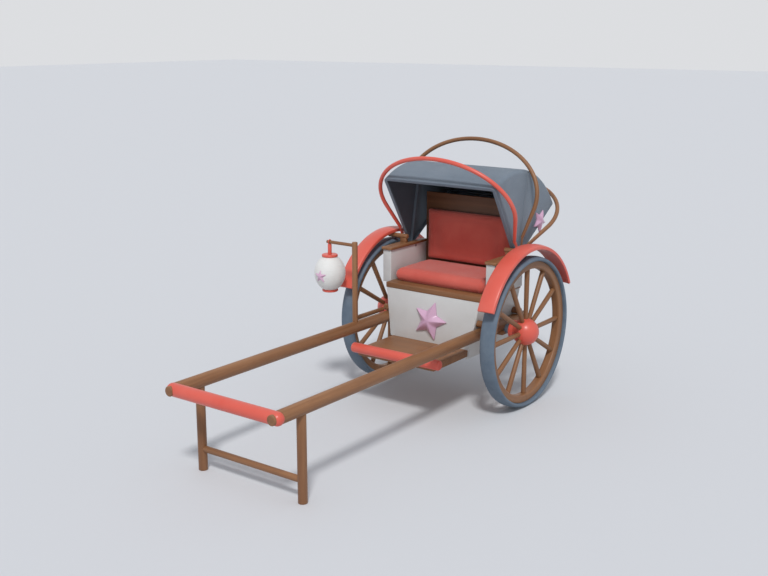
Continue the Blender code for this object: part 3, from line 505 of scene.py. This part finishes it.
bpy.ops.object.camera_add(
    location=at(3.8008, -5.9419, 2.4203), rotation=(math.radians(90 - 13.6271), 0, math.radians(36.5322))
)
camera = begun("studio_camera")
camera.data.lens = 50
camera.data.sensor_width = 36
bpy.context.scene.camera = camera

bpy.ops.mesh.primitive_plane_add(size=120, location=(0, 0, 0))
floor = begun("studio_floor")
floor_finish = Finish("floor", None, {"Base Color": colour(0.66, 0.67, 0.69), "Roughness": 0.85})
floor.data.materials.append(floor_finish.material)

world = bpy.data.worlds.new("studio")
bpy.context.scene.world = world
world.use_nodes = True
sky = world.node_tree
background = sky.nodes["Background"]
background.inputs["Strength"].default_value = 1
seen = sky.nodes.new("ShaderNodeLightPath")
choice = sky.nodes.new("ShaderNodeMix")
choice.data_type = "RGBA"
choice.inputs[6].default_value = colour(0.50, 0.52, 0.56)
choice.inputs[7].default_value = colour(0.72, 0.73, 0.75)
plain_view = sky.nodes.new("ShaderNodeMath")
plain_view.operation = "ADD"
sky.links.new(seen.outputs["Is Camera Ray"], plain_view.inputs[0])
mirrored = sky.nodes.new("ShaderNodeMath")
mirrored.operation = "ADD"
sky.links.new(seen.outputs["Is Glossy Ray"], mirrored.inputs[0])
sky.links.new(seen.outputs["Is Transmission Ray"], mirrored.inputs[1])
sky.links.new(mirrored.outputs[0], plain_view.inputs[1])
plain_view.use_clamp = True
sky.links.new(plain_view.outputs[0], choice.inputs[0])
sky.links.new(choice.outputs[2], background.inputs["Color"])

bpy.ops.object.light_add(type="SUN", location=at(2, -3, 6))
key_light = begun("key_light")
key_light.data.energy = 1.9
key_light.data.angle = math.radians(9)
key_light.rotation_euler = Vector((-0.246, 0.344, -0.527)).to_track_quat("-Z", "Y").to_euler()

# Shafts, crossbar and stand

SHAFT_OUT = 0.3707
SHAFT_RADIUS = 0.038
SHAFT_TAIL = 0.300
SHAFT_ABOVE_AXLE = 0.0161
SHAFT_RISE = 0.0105
CROSSBAR_REACH = 2.217
CROSSBAR_RADIUS = 0.038
CROSSBAR_OVERHANG = 0.006
TENON_SHOULDER = CROSSBAR_REACH - 0.012
TENON_STEP = 0.009
TENON_LENGTH = 0.053
STAND_ALONG = -2.028
STAND_LEG_RADIUS = 0.0264
STAND_BAR_HEIGHT = 0.129
STAND_BAR_RADIUS = 0.019
AXLE_RADIUS = 0.030
BEARER_RADIUS = 0.022


def shaft_height(forward):
    return AXLE_HEIGHT + SHAFT_ABOVE_AXLE + SHAFT_RISE * forward / CROSSBAR_REACH


def make_shafts():
    """Two shafts turned down to tenons that show through the round-ended crossbar."""
    tail = at(SHAFT_OUT, SHAFT_TAIL, shaft_height(-SHAFT_TAIL))
    shoulder = at(SHAFT_OUT, -TENON_SHOULDER, shaft_height(TENON_SHOULDER))
    along = shoulder - tail
    bpy.ops.mesh.primitive_cylinder_add(
        vertices=40,
        radius=SHAFT_RADIUS,
        depth=along.length,
        location=(tail + shoulder) / 2,
        rotation=along.to_track_quat("Z", "Y").to_euler(),
    )
    shaft = settled(begun("left_shaft"))
    pick_faces(shaft, lambda face: len(face.verts) > 4 and face.normal.y < -0.9)
    bpy.ops.mesh.inset(thickness=TENON_STEP)
    tenon = along.normalized() * TENON_LENGTH
    bpy.ops.mesh.extrude_region_move(TRANSFORM_OT_translate={"value": tenon})
    closed(shaft)
    eased(shaft, 0.004)
    both_sides(smooth(straight_grain(shaft, LENGTHWAYS)), "shaft", WOOD)

    round_end = arc((0, SHAFT_OUT + CROSSBAR_OVERHANG), CROSSBAR_RADIUS, 90, 0, 12)
    profile = [*round_end, *[(radius, -along) for radius, along in reversed(round_end)]]
    middle = at(0, -CROSSBAR_REACH, shaft_height(CROSSBAR_REACH))
    bar = turned("crossbar", profile, middle, SIDEWAYS, UPWARDS, steps=48)
    dressed(smooth(bar, 50), CORAL, "root", "front_crossbar")


def make_stand():
    top = at(SHAFT_OUT, STAND_ALONG, shaft_height(-STAND_ALONG))
    leg = rod("left_stand_leg", at(SHAFT_OUT, STAND_ALONG, 0), top, STAND_LEG_RADIUS)
    both_sides(leg, "stand_leg", WOOD)
    ends = [at(side * SHAFT_OUT, STAND_ALONG, STAND_BAR_HEIGHT) for side in (-1, 1)]
    rail = rod("stand_rail", *ends, STAND_BAR_RADIUS)
    dressed(rail, WOOD, "root", "stand_bar")


def make_axle():
    dressed(rod_for("axle", "axle_rod", AXLE_RADIUS), STEEL, "root", "axle")
    both_sides(eased_copy("axle_cap_left", "left_axle_cap", 0.003, LENGTHWAYS), "axle_cap", WOOD)
    for name in ("front", "rear"):
        bearer = rod_for(f"bearer_{name}", f"{name}_bearer", BEARER_RADIUS, 0.005)
        dressed(bearer, WOOD, "root", f"bearer_{name}")


# Seat box, boards and arms

FOOT_BAR_RADIUS = 0.033
FOOT_BAR_OVERHANG = 0.008
PLANK_CUT = 0.011
ARM_INSIDE = 0.3746
ARM_OUTSIDE = 0.440
ARM_NARROW = 0.3943
ARM_FRONT = -0.227
ARM_BACK = 0.217
ARM_FOOT = 0.7453
ARM_TOP = 0.967
ARM_STEP = 0.006
ARM_BOARD_INSIDE = 0.365
ARM_BOARD_OUTSIDE = 0.452
ARM_BOARD_NARROW = 0.4045
ARM_BOARD_FRONT = -0.225
ARM_BOARD_BACK = 0.1947
ARM_BOARD_TOP = 0.985
ARM_BOARD_CORNER = 0.012
STAY_BLOCK_OUTSIDE = 0.444


def make_body():
    """The box's panels, the seat and backrest boards, and the footboard with its bar."""
    panels = (("box_front_panel", "front_panel"), ("box_rear_panel", "rear_panel"))
    for node, name in panels:
        dressed(eased_copy(node, name, 0.0022), WHITE, "root", node)
    both_sides(eased_copy("box_side_left", "left_box_side", 0.002, LENGTHWAYS), "box_side", WHITE)
    dressed(eased_copy("seat_board", "seat_plank", 0.003), WOOD, "root", "seat_board")
    # The backrest board takes the darker copy of the wood: painted shade under the hood.
    dressed(eased_copy("backrest_board", "backrest_plank", 0.003), SHADED_BACKREST_WOOD, "root", "backrest_board")
    rail = rod_for("foot_bar", "foot_rail", FOOT_BAR_RADIUS, 0.010, FOOT_BAR_OVERHANG)
    low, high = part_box("foot_bar")
    front = (low.y + high.y) / 2 - FOOT.y - 0.004
    low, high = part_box("footboard")
    low, high = low - FOOT, high - FOOT
    corners = [(low.x, high.y), (low.x, front), (high.x, front), (high.x, high.y)]
    plank = eased(plate("foot_plank", corners, low.z + PLANK_CUT, high.z), 0.004)
    dressed(smooth(straight_grain(plank, SIDEWAYS)), WOOD, "root", "footboard")
    dressed(rail, CORAL, "root", "foot_bar")


def make_arms():
    """A boxed arm and its board on each side, wide in front of the hood's lugs and narrow beside them."""
    corners = [
        (ARM_INSIDE, ARM_FRONT),
        (ARM_OUTSIDE, ARM_FRONT),
        (ARM_OUTSIDE, ARM_STEP),
        (ARM_NARROW, ARM_STEP),
        (ARM_NARROW, ARM_BACK),
        (ARM_INSIDE, ARM_BACK),
    ]
    panel = eased(plate("left_arm_panel", corners, ARM_FOOT, ARM_TOP - 0.0003), 0.004, 4)
    both_sides(smooth(straight_grain(panel, LENGTHWAYS)), "arm_panel", WHITE)

    round_corner = ARM_BOARD_CORNER
    corners = [
        *arc((ARM_BOARD_OUTSIDE - round_corner, ARM_BOARD_FRONT), round_corner, 0, -90, 6),
        *arc((ARM_BOARD_INSIDE + round_corner, ARM_BOARD_FRONT), round_corner, -90, -180, 6),
        (ARM_BOARD_INSIDE, ARM_BOARD_BACK),
        (ARM_BOARD_NARROW, ARM_BOARD_BACK),
        (ARM_BOARD_NARROW, ARM_STEP),
        (ARM_BOARD_OUTSIDE, ARM_STEP),
    ]
    board = eased(plate("left_arm_board", corners, ARM_TOP, ARM_BOARD_TOP), 0.0045, 4)
    straight_grain(board, LENGTHWAYS)
    low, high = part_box("fender_stay_left")
    seat = (low + high) / 2
    block_low = Vector((low.x + 0.008, seat.y - 0.012, ARM_TOP + 0.010))
    block_high = Vector((at(STAY_BLOCK_OUTSIDE, 0, 0).x, seat.y + 0.012, seat.z - 0.008))
    centre, size = (block_low + block_high) / 2, block_high - block_low
    bpy.ops.mesh.primitive_cube_add(size=1, location=centre, scale=size)
    block = eased(settled(begun("left_stay_block")), 0.004)
    straight_grain(block, LENGTHWAYS)
    both_sides(smooth(joined("left_arm_board", [board, block])), "arm_board", WOOD)


# Wheels and fenders

WHEEL_OUT = 0.5485
RIM_RADIUS = 0.4702
HUB = at(WHEEL_OUT, 0, AXLE_HEIGHT)
HUB_RADIUS = 0.089
HUB_NECK_RADIUS = 0.0625
HUB_NECK_REACH = 0.0985
HUB_NECK_ROUNDING = 0.004
HUB_BORE_RADIUS = 0.0305
HUB_BORE_END = 0.044
TYRE_DEPTH = 0.0298
TYRE_HALF_WIDTH = 0.052
TYRE_SEAT_HALF_WIDTH = 0.046
TYRE_WALL_SHARE = 0.35
RIM_DEPTH = 0.0507
RIM_HALF_WIDTH = 0.030
SPOKE_COUNT = 12
SPOKE_START = 0.070
SPOKE_END = 0.435
SPOKE_RADIUS_AT_HUB = 0.0145
SPOKE_RADIUS_AT_RIM = 0.0170
FENDER_THICKNESS = 0.022
FENDER_CROWN = 0.010
FENDER_HALF_SWEEP = math.radians(65)
FENDER_STAY_RADIUS = 0.0165


def make_wheels():
    """The left wheel about its hub, then its twin."""
    crown = []
    for step in range(21):
        angle = math.radians(90 - 180 * (step / 20))
        swell = TYRE_WALL_SHARE + (1 - TYRE_WALL_SHARE) * math.cos(angle) ** 0.8
        crown.append((RIM_RADIUS + TYRE_DEPTH * swell, TYRE_HALF_WIDTH * math.sin(angle)))
    profile = [(RIM_RADIUS, TYRE_SEAT_HALF_WIDTH), *crown, (RIM_RADIUS, -TYRE_SEAT_HALF_WIDTH)]
    tyre = turned("left_tyre", profile, HUB, SIDEWAYS, UPWARDS, steps=144)
    eased(tyre, 0.004, 3, 40)
    both_sides(smooth(tyre, 40), "tyre", RUBBER, "wheel")

    inner = RIM_RADIUS - RIM_DEPTH
    outer_edge, inner_edge = 0.004, 0.012
    profile = [
        *arc((RIM_RADIUS - outer_edge, outer_edge - RIM_HALF_WIDTH), outer_edge, 0, -90, 3),
        *arc((inner + inner_edge, inner_edge - RIM_HALF_WIDTH), inner_edge, 270, 180, 6),
        *arc((inner + inner_edge, RIM_HALF_WIDTH - inner_edge), inner_edge, 180, 90, 6),
        *arc((RIM_RADIUS - outer_edge, RIM_HALF_WIDTH - outer_edge), outer_edge, 90, 0, 3),
    ]
    felloes = turned("felloes", profile, HUB, SIDEWAYS, UPWARDS, steps=144)

    def round_the_rim(point):
        out = point - HUB
        return Vector((math.atan2(out.y, out.z) * RIM_RADIUS, math.hypot(out.y, out.z), out.x))

    lay_grain(felloes, round_the_rim)
    ends = [HUB + UPWARDS * reach for reach in (SPOKE_START, SPOKE_END)]
    spoke = rod("spoke", *ends, SPOKE_RADIUS_AT_HUB, SPOKE_RADIUS_AT_RIM, sides=28, ease=0.002)
    pieces = [felloes, spoke]
    for number in range(1, SPOKE_COUNT):
        alone(spoke)
        bpy.ops.object.duplicate(linked=False)
        turn = math.tau * number / SPOKE_COUNT
        bpy.ops.transform.rotate(value=turn, orient_axis="X", orient_type="GLOBAL", center_override=HUB)
        pieces.append(settled(begun(f"spoke_{number}")))
    both_sides(smooth(joined("left_wheel_rim", pieces)), "wheel_rim", WOOD, "wheel")

    neck = math.degrees(math.asin(HUB_NECK_RADIUS / HUB_RADIUS))
    profile = [
        *arc((0, 0), HUB_RADIUS, 90, neck - 90, 28),
        (HUB_NECK_RADIUS, HUB_NECK_ROUNDING - HUB_NECK_REACH),
        (HUB_NECK_RADIUS - HUB_NECK_ROUNDING, -HUB_NECK_REACH),
        (HUB_BORE_RADIUS, -HUB_NECK_REACH),
        (HUB_BORE_RADIUS, HUB_BORE_END),
        (0, HUB_BORE_END),
    ]
    hub = turned("left_wheel_hub", profile, HUB, SIDEWAYS, UPWARDS, steps=72)
    both_sides(smooth(hub, 30), "wheel_hub", CORAL, "wheel")


def make_fenders():
    """A crowned band with rolled edges, on its stay."""
    low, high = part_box("fender_left")
    middle = (low.x + high.x) / 2
    half = (high.x - low.x) / 2
    outer = high.z - AXLE_HEIGHT
    top = []
    for share in (-1, -0.8, -0.6, -0.4, -0.2, 0):
        top.append((outer - FENDER_CROWN * share * share, half * share))
    top += [(radius, -along) for radius, along in reversed(top[:-1])]
    profile = [*top, *[(radius - FENDER_THICKNESS, along) for radius, along in reversed(top)]]
    centre = Vector((middle, FOOT.y, AXLE_HEIGHT))
    start = Vector((0, -math.sin(FENDER_HALF_SWEEP), math.cos(FENDER_HALF_SWEEP)))
    fender = turned("left_fender", profile, centre, -SIDEWAYS, start, 2 * FENDER_HALF_SWEEP, 72)
    eased(fender, 0.0045, 4, 50)
    both_sides(smooth(fender), "fender", CORAL)

    stay = rod_for("fender_stay_left", "left_fender_stay", FENDER_STAY_RADIUS, 0.005)
    both_sides(stay, "fender_stay", WOOD)


# Hood

PIVOT = at(0, 0.069, 0.954)
BOW_SPREAD = 0.450
BOW_RADIUS = 0.014
ARCH_HALF_WIDTH = 0.516
ARCH_BASE = 0.408
ARCH_HEIGHT = 0.360
LUG_LENGTH = 0.135
LUG_FIRST = 0.4395
LUG_HALF_THICKNESS = 0.00275
LUG_SPACING = 0.0075
LUG_RADIUS = 0.0129
REAR_TILT, MIDDLE_TILT, FRONT_TILT = -55.7, -12.2, 29.8
ROOF_RADIUS = 0.588
HOOD_HALF_WIDTH = 0.430
HOOD_CORNER = 0.030
HOOD_EYE = 0.012
CLOTH_THICKNESS = 0.0025
HEM_WIDTH = 0.020
HEM_PROUD = 0.0008
HEM_INSIDE = 0.021


def bow_line():
    """The bow's centre line, upright: straight legs that run into an arch."""
    across = BOW_SPREAD / ARCH_HALF_WIDTH
    down = (LUG_LENGTH - ARCH_BASE) / ARCH_HEIGHT
    start = math.degrees(math.atan2(down, across) + math.acos(1 / math.hypot(across, down)))
    arch = arc((0, 0), 1, start, 180 - start, 72)
    points = [(BOW_SPREAD, 0.130 * step / 13) for step in range(14)]
    points += [(BOW_SPREAD, 0.140), (BOW_SPREAD, 0.155)]
    points += [(ARCH_HALF_WIDTH * x, ARCH_BASE + ARCH_HEIGHT * z) for x, z in arch]
    return [*points, *[(-x, z) for x, z in reversed(points[:16])]]


def make_bow(name, node, body, finish, tilt, lug_out):
    """A bent bow whose round legs are flattened into the lugs that turn on the pins."""
    bpy.ops.curve.primitive_nurbs_path_add(location=(0, 0, 0))
    line = bpy.context.active_object
    curve = line.data
    curve.splines.clear()
    points = bow_line()
    spline = curve.splines.new("POLY")
    spline.points.add(len(points) - 1)
    for point, (x, z) in zip(spline.points, points):
        point.co = (x, 0, z, 1)
    curve.bevel_depth = BOW_RADIUS
    curve.bevel_resolution = 5
    curve.use_fill_caps = True
    alone(line)
    bpy.ops.object.convert(target="MESH")
    bow = begun(name)
    for vert in bow.data.vertices:
        side = 1 if vert.co.x > 0 else -1
        share = min(max((vert.co.z - 0.133) / 0.040, 0), 1)
        share = share * share * (3 - 2 * share)
        off = side * vert.co.x - BOW_SPREAD
        flat = lug_out + off * LUG_HALF_THICKNESS / BOW_RADIUS
        vert.co.x = side * (flat + (BOW_SPREAD + off - flat) * share)
        if vert.co.z < LUG_RADIUS:
            drop = math.sqrt(max(LUG_RADIUS**2 - vert.co.y**2, 0))
            vert.co.z = -drop if vert.co.z < 0.004 else vert.co.z

    def round_the_arch(point):
        up = point.z - ARCH_BASE
        return Vector((math.atan2(point.x, up) * 0.45, math.hypot(point.x, up), point.y))

    lay_grain(bow, round_the_arch)
    bow.location = PIVOT
    bow.rotation_euler = (math.radians(tilt), 0, 0)
    settled(bow)
    opened(bow)
    bpy.ops.mesh.select_all(action="SELECT")
    bpy.ops.mesh.remove_doubles(threshold=0.00001)
    face_outwards()
    closed(bow)
    dressed(smooth(bow, 60), finish, body, node)


def leaning(tilt, radius):
    """A direction in the hood's side plane, tilted forward off the vertical."""
    return Vector((0, -math.sin(tilt), math.cos(tilt))) * radius


def canopy_outline(half, roof, corner):
    """A line from one pin over the roof to the other, as (distance from the pins, place) points."""
    return [
        (HOOD_EYE, half),
        *arc((roof - corner, half - corner), corner, 90, 0, 8),
        *arc((roof - corner, corner - half), corner, 0, -90, 8),
        (HOOD_EYE, -half),
    ]


def faces_inwards(face):
    """Whether a face of the hood looks at the passenger."""
    from_pin = face.center - PIVOT
    side = abs(from_pin.x) > 0.4 and math.hypot(from_pin.y, from_pin.z) < 0.565
    out = Vector((from_pin.x, 0, 0)) if side else Vector((0, from_pin.y, from_pin.z))
    return face.normal.dot(out.normalized()) < -0.3


def make_canopy(name, node, rear, front, bodies):
    """One curved sheet between two bows, with thick hems; the rear one also has a strip behind it."""
    cloth_line, cloth_inner_line, hem_line, hem_inner_line = [
        canopy_outline(HOOD_HALF_WIDTH + out, ROOF_RADIUS + out, HOOD_CORNER + out)
        for out in (0, -CLOTH_THICKNESS, HEM_PROUD, -HEM_INSIDE)
    ]
    rear, front = math.radians(rear), math.radians(front)
    width = HEM_WIDTH / ROOF_RADIUS
    outline = [*cloth_line, *reversed(cloth_inner_line)]
    sheet = turned(name, outline, PIVOT, SIDEWAYS, leaning(rear + 0.002, 1), front - rear - 0.004, 36)
    pieces = [sheet]
    outline = [*hem_line, *reversed(hem_inner_line)]
    for edge, start in (("rear", rear), ("front", front - width)):
        hem = turned(f"{name}_{edge}_hem", outline, PIVOT, SIDEWAYS, leaning(start, 1), width, 2)
        pieces.append(eased(hem, 0.0016, 3, 60))
    if bodies[0] == "root":
        half = 0.4095
        outline = [(0.580, half), (0.425, half), (0.425, -half), (0.580, -half)]
        strip = turned(f"{name}_back", outline, PIVOT, SIDEWAYS, leaning(rear + 0.012, 1), 0.0045, 1)
        pieces.append(strip)
    for piece in pieces:
        piece.data.materials.clear()
        piece.data.materials.append(HOOD_CLOTH.material)
        piece.data.materials.append(HOOD_PAINTED_SHADE.material)
        # Faces that look into the hood get the darker copy of the cloth: painted shade inside the hood.
        for face in piece.data.polygons:
            face.material_index = 1 if faces_inwards(face) else 0
        smooth(piece, 40)
        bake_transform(piece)
    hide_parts(node)


def make_hood():
    """Three bows with stacked lugs, a sheet between each two, and the pins they turn on."""
    first = LUG_FIRST + LUG_HALF_THICKNESS
    make_bow("rear_bow", "hood_bow_rear", "root", WOOD, REAR_TILT, first)
    make_bow("middle_bow", "hood_bow_middle", "hood_middle", WOOD, MIDDLE_TILT, first + LUG_SPACING)
    make_bow("front_bow", "hood_bow_front", "hood_front", CORAL, FRONT_TILT, first + 2 * LUG_SPACING)
    bodies = ("hood_middle", "hood_front")
    make_canopy("front_canopy", "canopy_front", MIDDLE_TILT + 0.01, 31.5, bodies)
    bodies = ("root", "hood_middle")
    make_canopy("rear_canopy", "canopy_rear", -57.0, MIDDLE_TILT - 0.01, bodies)
    low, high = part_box("hood_pin_left")
    middle = (low + high) / 2
    inside = Vector((low.x, middle.y, middle.z))
    outside = Vector((high.x, middle.y, middle.z))
    shank = rod("shank", inside, outside - SIDEWAYS * 0.003, 0.009, ease=0.001)
    head = rod("head", outside - SIDEWAYS * 0.005, outside, 0.015, ease=0.0018)
    both_sides(smooth(joined("left_hood_pin", [shank, head])), "hood_pin", STEEL)


# Cushions

PAD_ROUNDING = 0.46
PAD_GRID = 0.006
SWELL_FRAMES = 20


def swell(piece, cap):
    """Lets the cloth of a pad swell a little, no point further than the cap."""
    before = [vert.co.copy() for vert in piece.data.vertices]
    alone(piece)
    cloth = piece.modifiers.new("swell", "CLOTH")
    settings = cloth.settings
    settings.quality = 5
    settings.mass = 0.3
    settings.tension_stiffness = 15
    settings.compression_stiffness = 15
    settings.shear_stiffness = 5
    settings.bending_stiffness = 0.5
    settings.use_pressure = True
    settings.uniform_pressure_force = 4.0
    settings.effector_weights.gravity = 0
    scene = bpy.context.scene
    for number in range(1, SWELL_FRAMES + 1):
        scene.frame_set(number)
    alone(piece)
    bpy.ops.object.modifier_apply(modifier=cloth.name)
    scene.frame_set(1)
    for vert, start in zip(piece.data.vertices, before):
        step = vert.co - start
        if step.length > cap:
            vert.co = start + step * (cap / step.length)


def make_cushion(name, node, half_width, front, shrink, crown, thin_axis, cap):
    """A boxed pad: a rounded block, crowned, pulled in along its sides and swollen by its filling."""
    low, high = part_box(node)
    low = Vector((FOOT.x - half_width, at(0, front, 0).y, low.z))
    high = Vector((FOOT.x + half_width, high.y, high.z))
    middle = (low + high) / 2
    size = high - low
    bpy.ops.mesh.primitive_cube_add(size=1, location=middle, scale=size - Vector(shrink) * 2)
    pad = settled(begun(name))
    thick = min(size) - 2 * shrink[thin_axis]
    eased(pad, thick * PAD_ROUNDING, 7, 60)
    alone(pad)
    pad.data.remesh_voxel_size = PAD_GRID
    bpy.ops.object.voxel_remesh()
    wide_axes = [axis for axis in range(3) if axis != thin_axis]
    for vert in pad.data.vertices:
        spread = 1.0
        for axis in wide_axes:
            share = (vert.co[axis] - middle[axis]) / (size[axis] / 2)
            spread *= max(1 - share**4, 0)
        lift = (vert.co[thin_axis] - middle[thin_axis]) / (size[thin_axis] / 2)
        vert.co[thin_axis] += crown * spread * lift
    swell(pad, cap)
    shaped_by(pad, "SMOOTH", factor=0.5, iterations=4)
    shaped_by(pad, "SUBSURF", levels=1, render_levels=1)
    smooth(pad, 60)
    dressed(pad, RED_CLOTH, "root", node)


def make_upholstery():
    """The seat pad, thin upwards, and the back pad, thin lengthways."""
    make_cushion("seat_pad", "seat_cushion", 0.364, -0.235, (0.006, 0.006, 0.005), 0.006, 2, 0.010)
    back_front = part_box("back_cushion")[0].y - FOOT.y
    make_cushion("back_pad", "back_cushion", 0.347, back_front, (0.006, 0.004, 0.006), 0.004, 1, 0.008)


# Stars

STAR_WAIST = 0.50
STAR_RIM = 0.2
BOX_FRONT_SLOPE = 0.108
HOOD_STAR_TILT = math.radians(-53.0)


def make_star(name, node, body, radius, middle, place, turn):
    """A puffed five-pointed star: sharp tips, a low rim and soft facets that rise to its middle."""
    bpy.ops.mesh.primitive_circle_add(vertices=10, radius=radius, fill_type="NGON", location=(0, 0, 0))
    star = begun(name)
    for number, vert in enumerate(star.data.vertices):
        if number % 2:
            vert.co *= STAR_WAIST
    opened(star)
    bpy.ops.mesh.select_all(action="SELECT")
    bpy.ops.mesh.extrude_region_move(TRANSFORM_OT_translate={"value": (0, 0, middle * STAR_RIM)})
    closed(star)
    pick_faces(star, lambda face: len(face.verts) == 10 and face.calc_center_median().z > middle * 0.1)
    bpy.ops.mesh.poke(offset=middle * (1 - STAR_RIM))
    for _ in range(3):
        bpy.ops.mesh.subdivide(number_cuts=1)
    face_outwards()
    closed(star)
    for vert in star.data.vertices:
        rise = (vert.co.z / middle - STAR_RIM) / (1 - STAR_RIM)
        if rise > 0:
            vert.co.z = middle * (1 - (1 - STAR_RIM) * max(0, 1 - rise) ** 1.9)
    eased(star, radius * 0.012, 2, 55)
    star.matrix_world = Matrix.Translation(place) @ turn
    settled(star)
    smooth(star, 40)
    dressed(star, PINK, body, node)


def make_stars():
    lean = math.atan(BOX_FRONT_SLOPE)
    turned_back = Matrix.Rotation(math.radians(-15), 4, "Z")
    face = -0.281 - BOX_FRONT_SLOPE * (0.724 - 0.550)
    make_star(
        "star_on_box",
        "front_star",
        "root",
        0.131,
        0.044,
        at(0, face - 0.0003, 0.551),
        Matrix.Rotation(math.radians(90) - lean, 4, "X") @ turned_back,
    )
    make_star(
        "star_on_hood",
        "canopy_star",
        "root",
        0.082,
        0.026,
        PIVOT + SIDEWAYS * (HOOD_HALF_WIDTH + 0.0003) + leaning(HOOD_STAR_TILT, 0.360),
        Matrix.Rotation(math.radians(90), 4, "Y") @ turned_back,
    )


# Lantern

LANTERN_OUT = -0.580
LANTERN_ALONG = -0.628
LANTERN_POST_TOP = 1.088
LANTERN_POST_RADIUS = 0.0185
LANTERN_ARM = 1.065
LANTERN_ARM_END = -0.602
LANTERN_ARM_RADIUS = 0.011
LOOP_RADIUS = 0.0144
CAP_RADIUS = 0.046
CAP_ROUNDING = 0.007
LANTERN_MIDDLE = 0.8585
GLOBE_RADIUS = 0.103
GLOBE_HALF = 0.1215
GLOBE_CUT_SHARE = 0.89
GLOBE_CUT = GLOBE_CUT_SHARE * GLOBE_HALF


def make_lantern():
    """A post and arm on the right shaft, and a ribbed paper lantern that hangs from them."""
    heights = (shaft_height(-LANTERN_ALONG), LANTERN_POST_TOP)
    ends = [at(-SHAFT_OUT, LANTERN_ALONG, height) for height in heights]
    post = rod("post", *ends, LANTERN_POST_RADIUS, ease=0.005)
    ends = [at(out, LANTERN_ALONG, LANTERN_ARM) for out in (-SHAFT_OUT, LANTERN_ARM_END)]
    arm = rod("arm", *ends, LANTERN_ARM_RADIUS, ease=0.004)
    dressed(smooth(joined("post_and_arm", [post, arm])), WOOD, "root", "lantern_post")

    middle = at(LANTERN_OUT, LANTERN_ALONG, LANTERN_MIDDLE)
    turn_end = math.degrees(math.asin(GLOBE_CUT_SHARE))
    outline = [(0, GLOBE_CUT)]
    rings = 96
    for step in range(rings + 1):
        angle = math.radians(turn_end - 2 * turn_end * step / rings)
        rib = 0.0003 * math.cos(math.tau * step / 6)
        outline.append(((GLOBE_RADIUS + rib) * math.cos(angle), (GLOBE_HALF + rib) * math.sin(angle)))
    outline.append((0, -GLOBE_CUT))
    globe = turned("paper_globe", outline, middle, UPWARDS, SIDEWAYS, steps=72)
    dressed(smooth(globe, 50), PAPER, "lantern", "lantern_globe")

    ring = [
        (0, -0.0085),
        *arc((CAP_RADIUS, -0.0015), CAP_ROUNDING, -90, 0, 6),
        *arc((CAP_RADIUS, 0.0015), CAP_ROUNDING, 0, 90, 6),
        (0, 0.0085),
    ]
    caps = (("lantern_lid", 1, "lantern_cap_top"), ("lantern_base", -1, "lantern_cap_bottom"))
    for name, way, node in caps:
        height = way * (GLOBE_CUT + 0.0088)
        cap = turned(name, ring, middle + UPWARDS * height, UPWARDS, SIDEWAYS, steps=72)
        dressed(smooth(cap, 50), CORAL, "lantern", node)

    bpy.ops.mesh.primitive_torus_add(
        major_segments=40,
        minor_segments=14,
        major_radius=LOOP_RADIUS,
        minor_radius=0.003,
        location=at(LANTERN_OUT, LANTERN_ALONG, LANTERN_ARM),
        rotation=(0, math.radians(90), 0),
    )
    loop = straight_grain(settled(begun("loop")), UPWARDS)
    stem = rod(
        "stem",
        middle + UPWARDS * (GLOBE_CUT + 0.016),
        at(LANTERN_OUT, LANTERN_ALONG, LANTERN_ARM - LOOP_RADIUS),
        0.0130,
        sides=28,
        ease=0.004,
    )
    dressed(smooth(joined("lantern_hook", [loop, stem])), CORAL, "lantern", "lantern_hanger")

    drop = -0.008
    face = GLOBE_RADIUS * math.sqrt(1 - (drop / GLOBE_HALF) ** 2)
    make_star(
        "star_on_lantern",
        "lantern_star",
        "lantern",
        0.046,
        0.022,
        middle + Vector((0, 0.010 - face, drop)),
        Matrix.Rotation(math.radians(90), 4, "X"),
    )


make_shafts()
make_stand()
make_axle()
make_body()
make_arms()
make_wheels()
make_fenders()
make_hood()
make_upholstery()
make_stars()
make_lantern()

bpy.context.scene.view_settings.view_transform = "Standard"
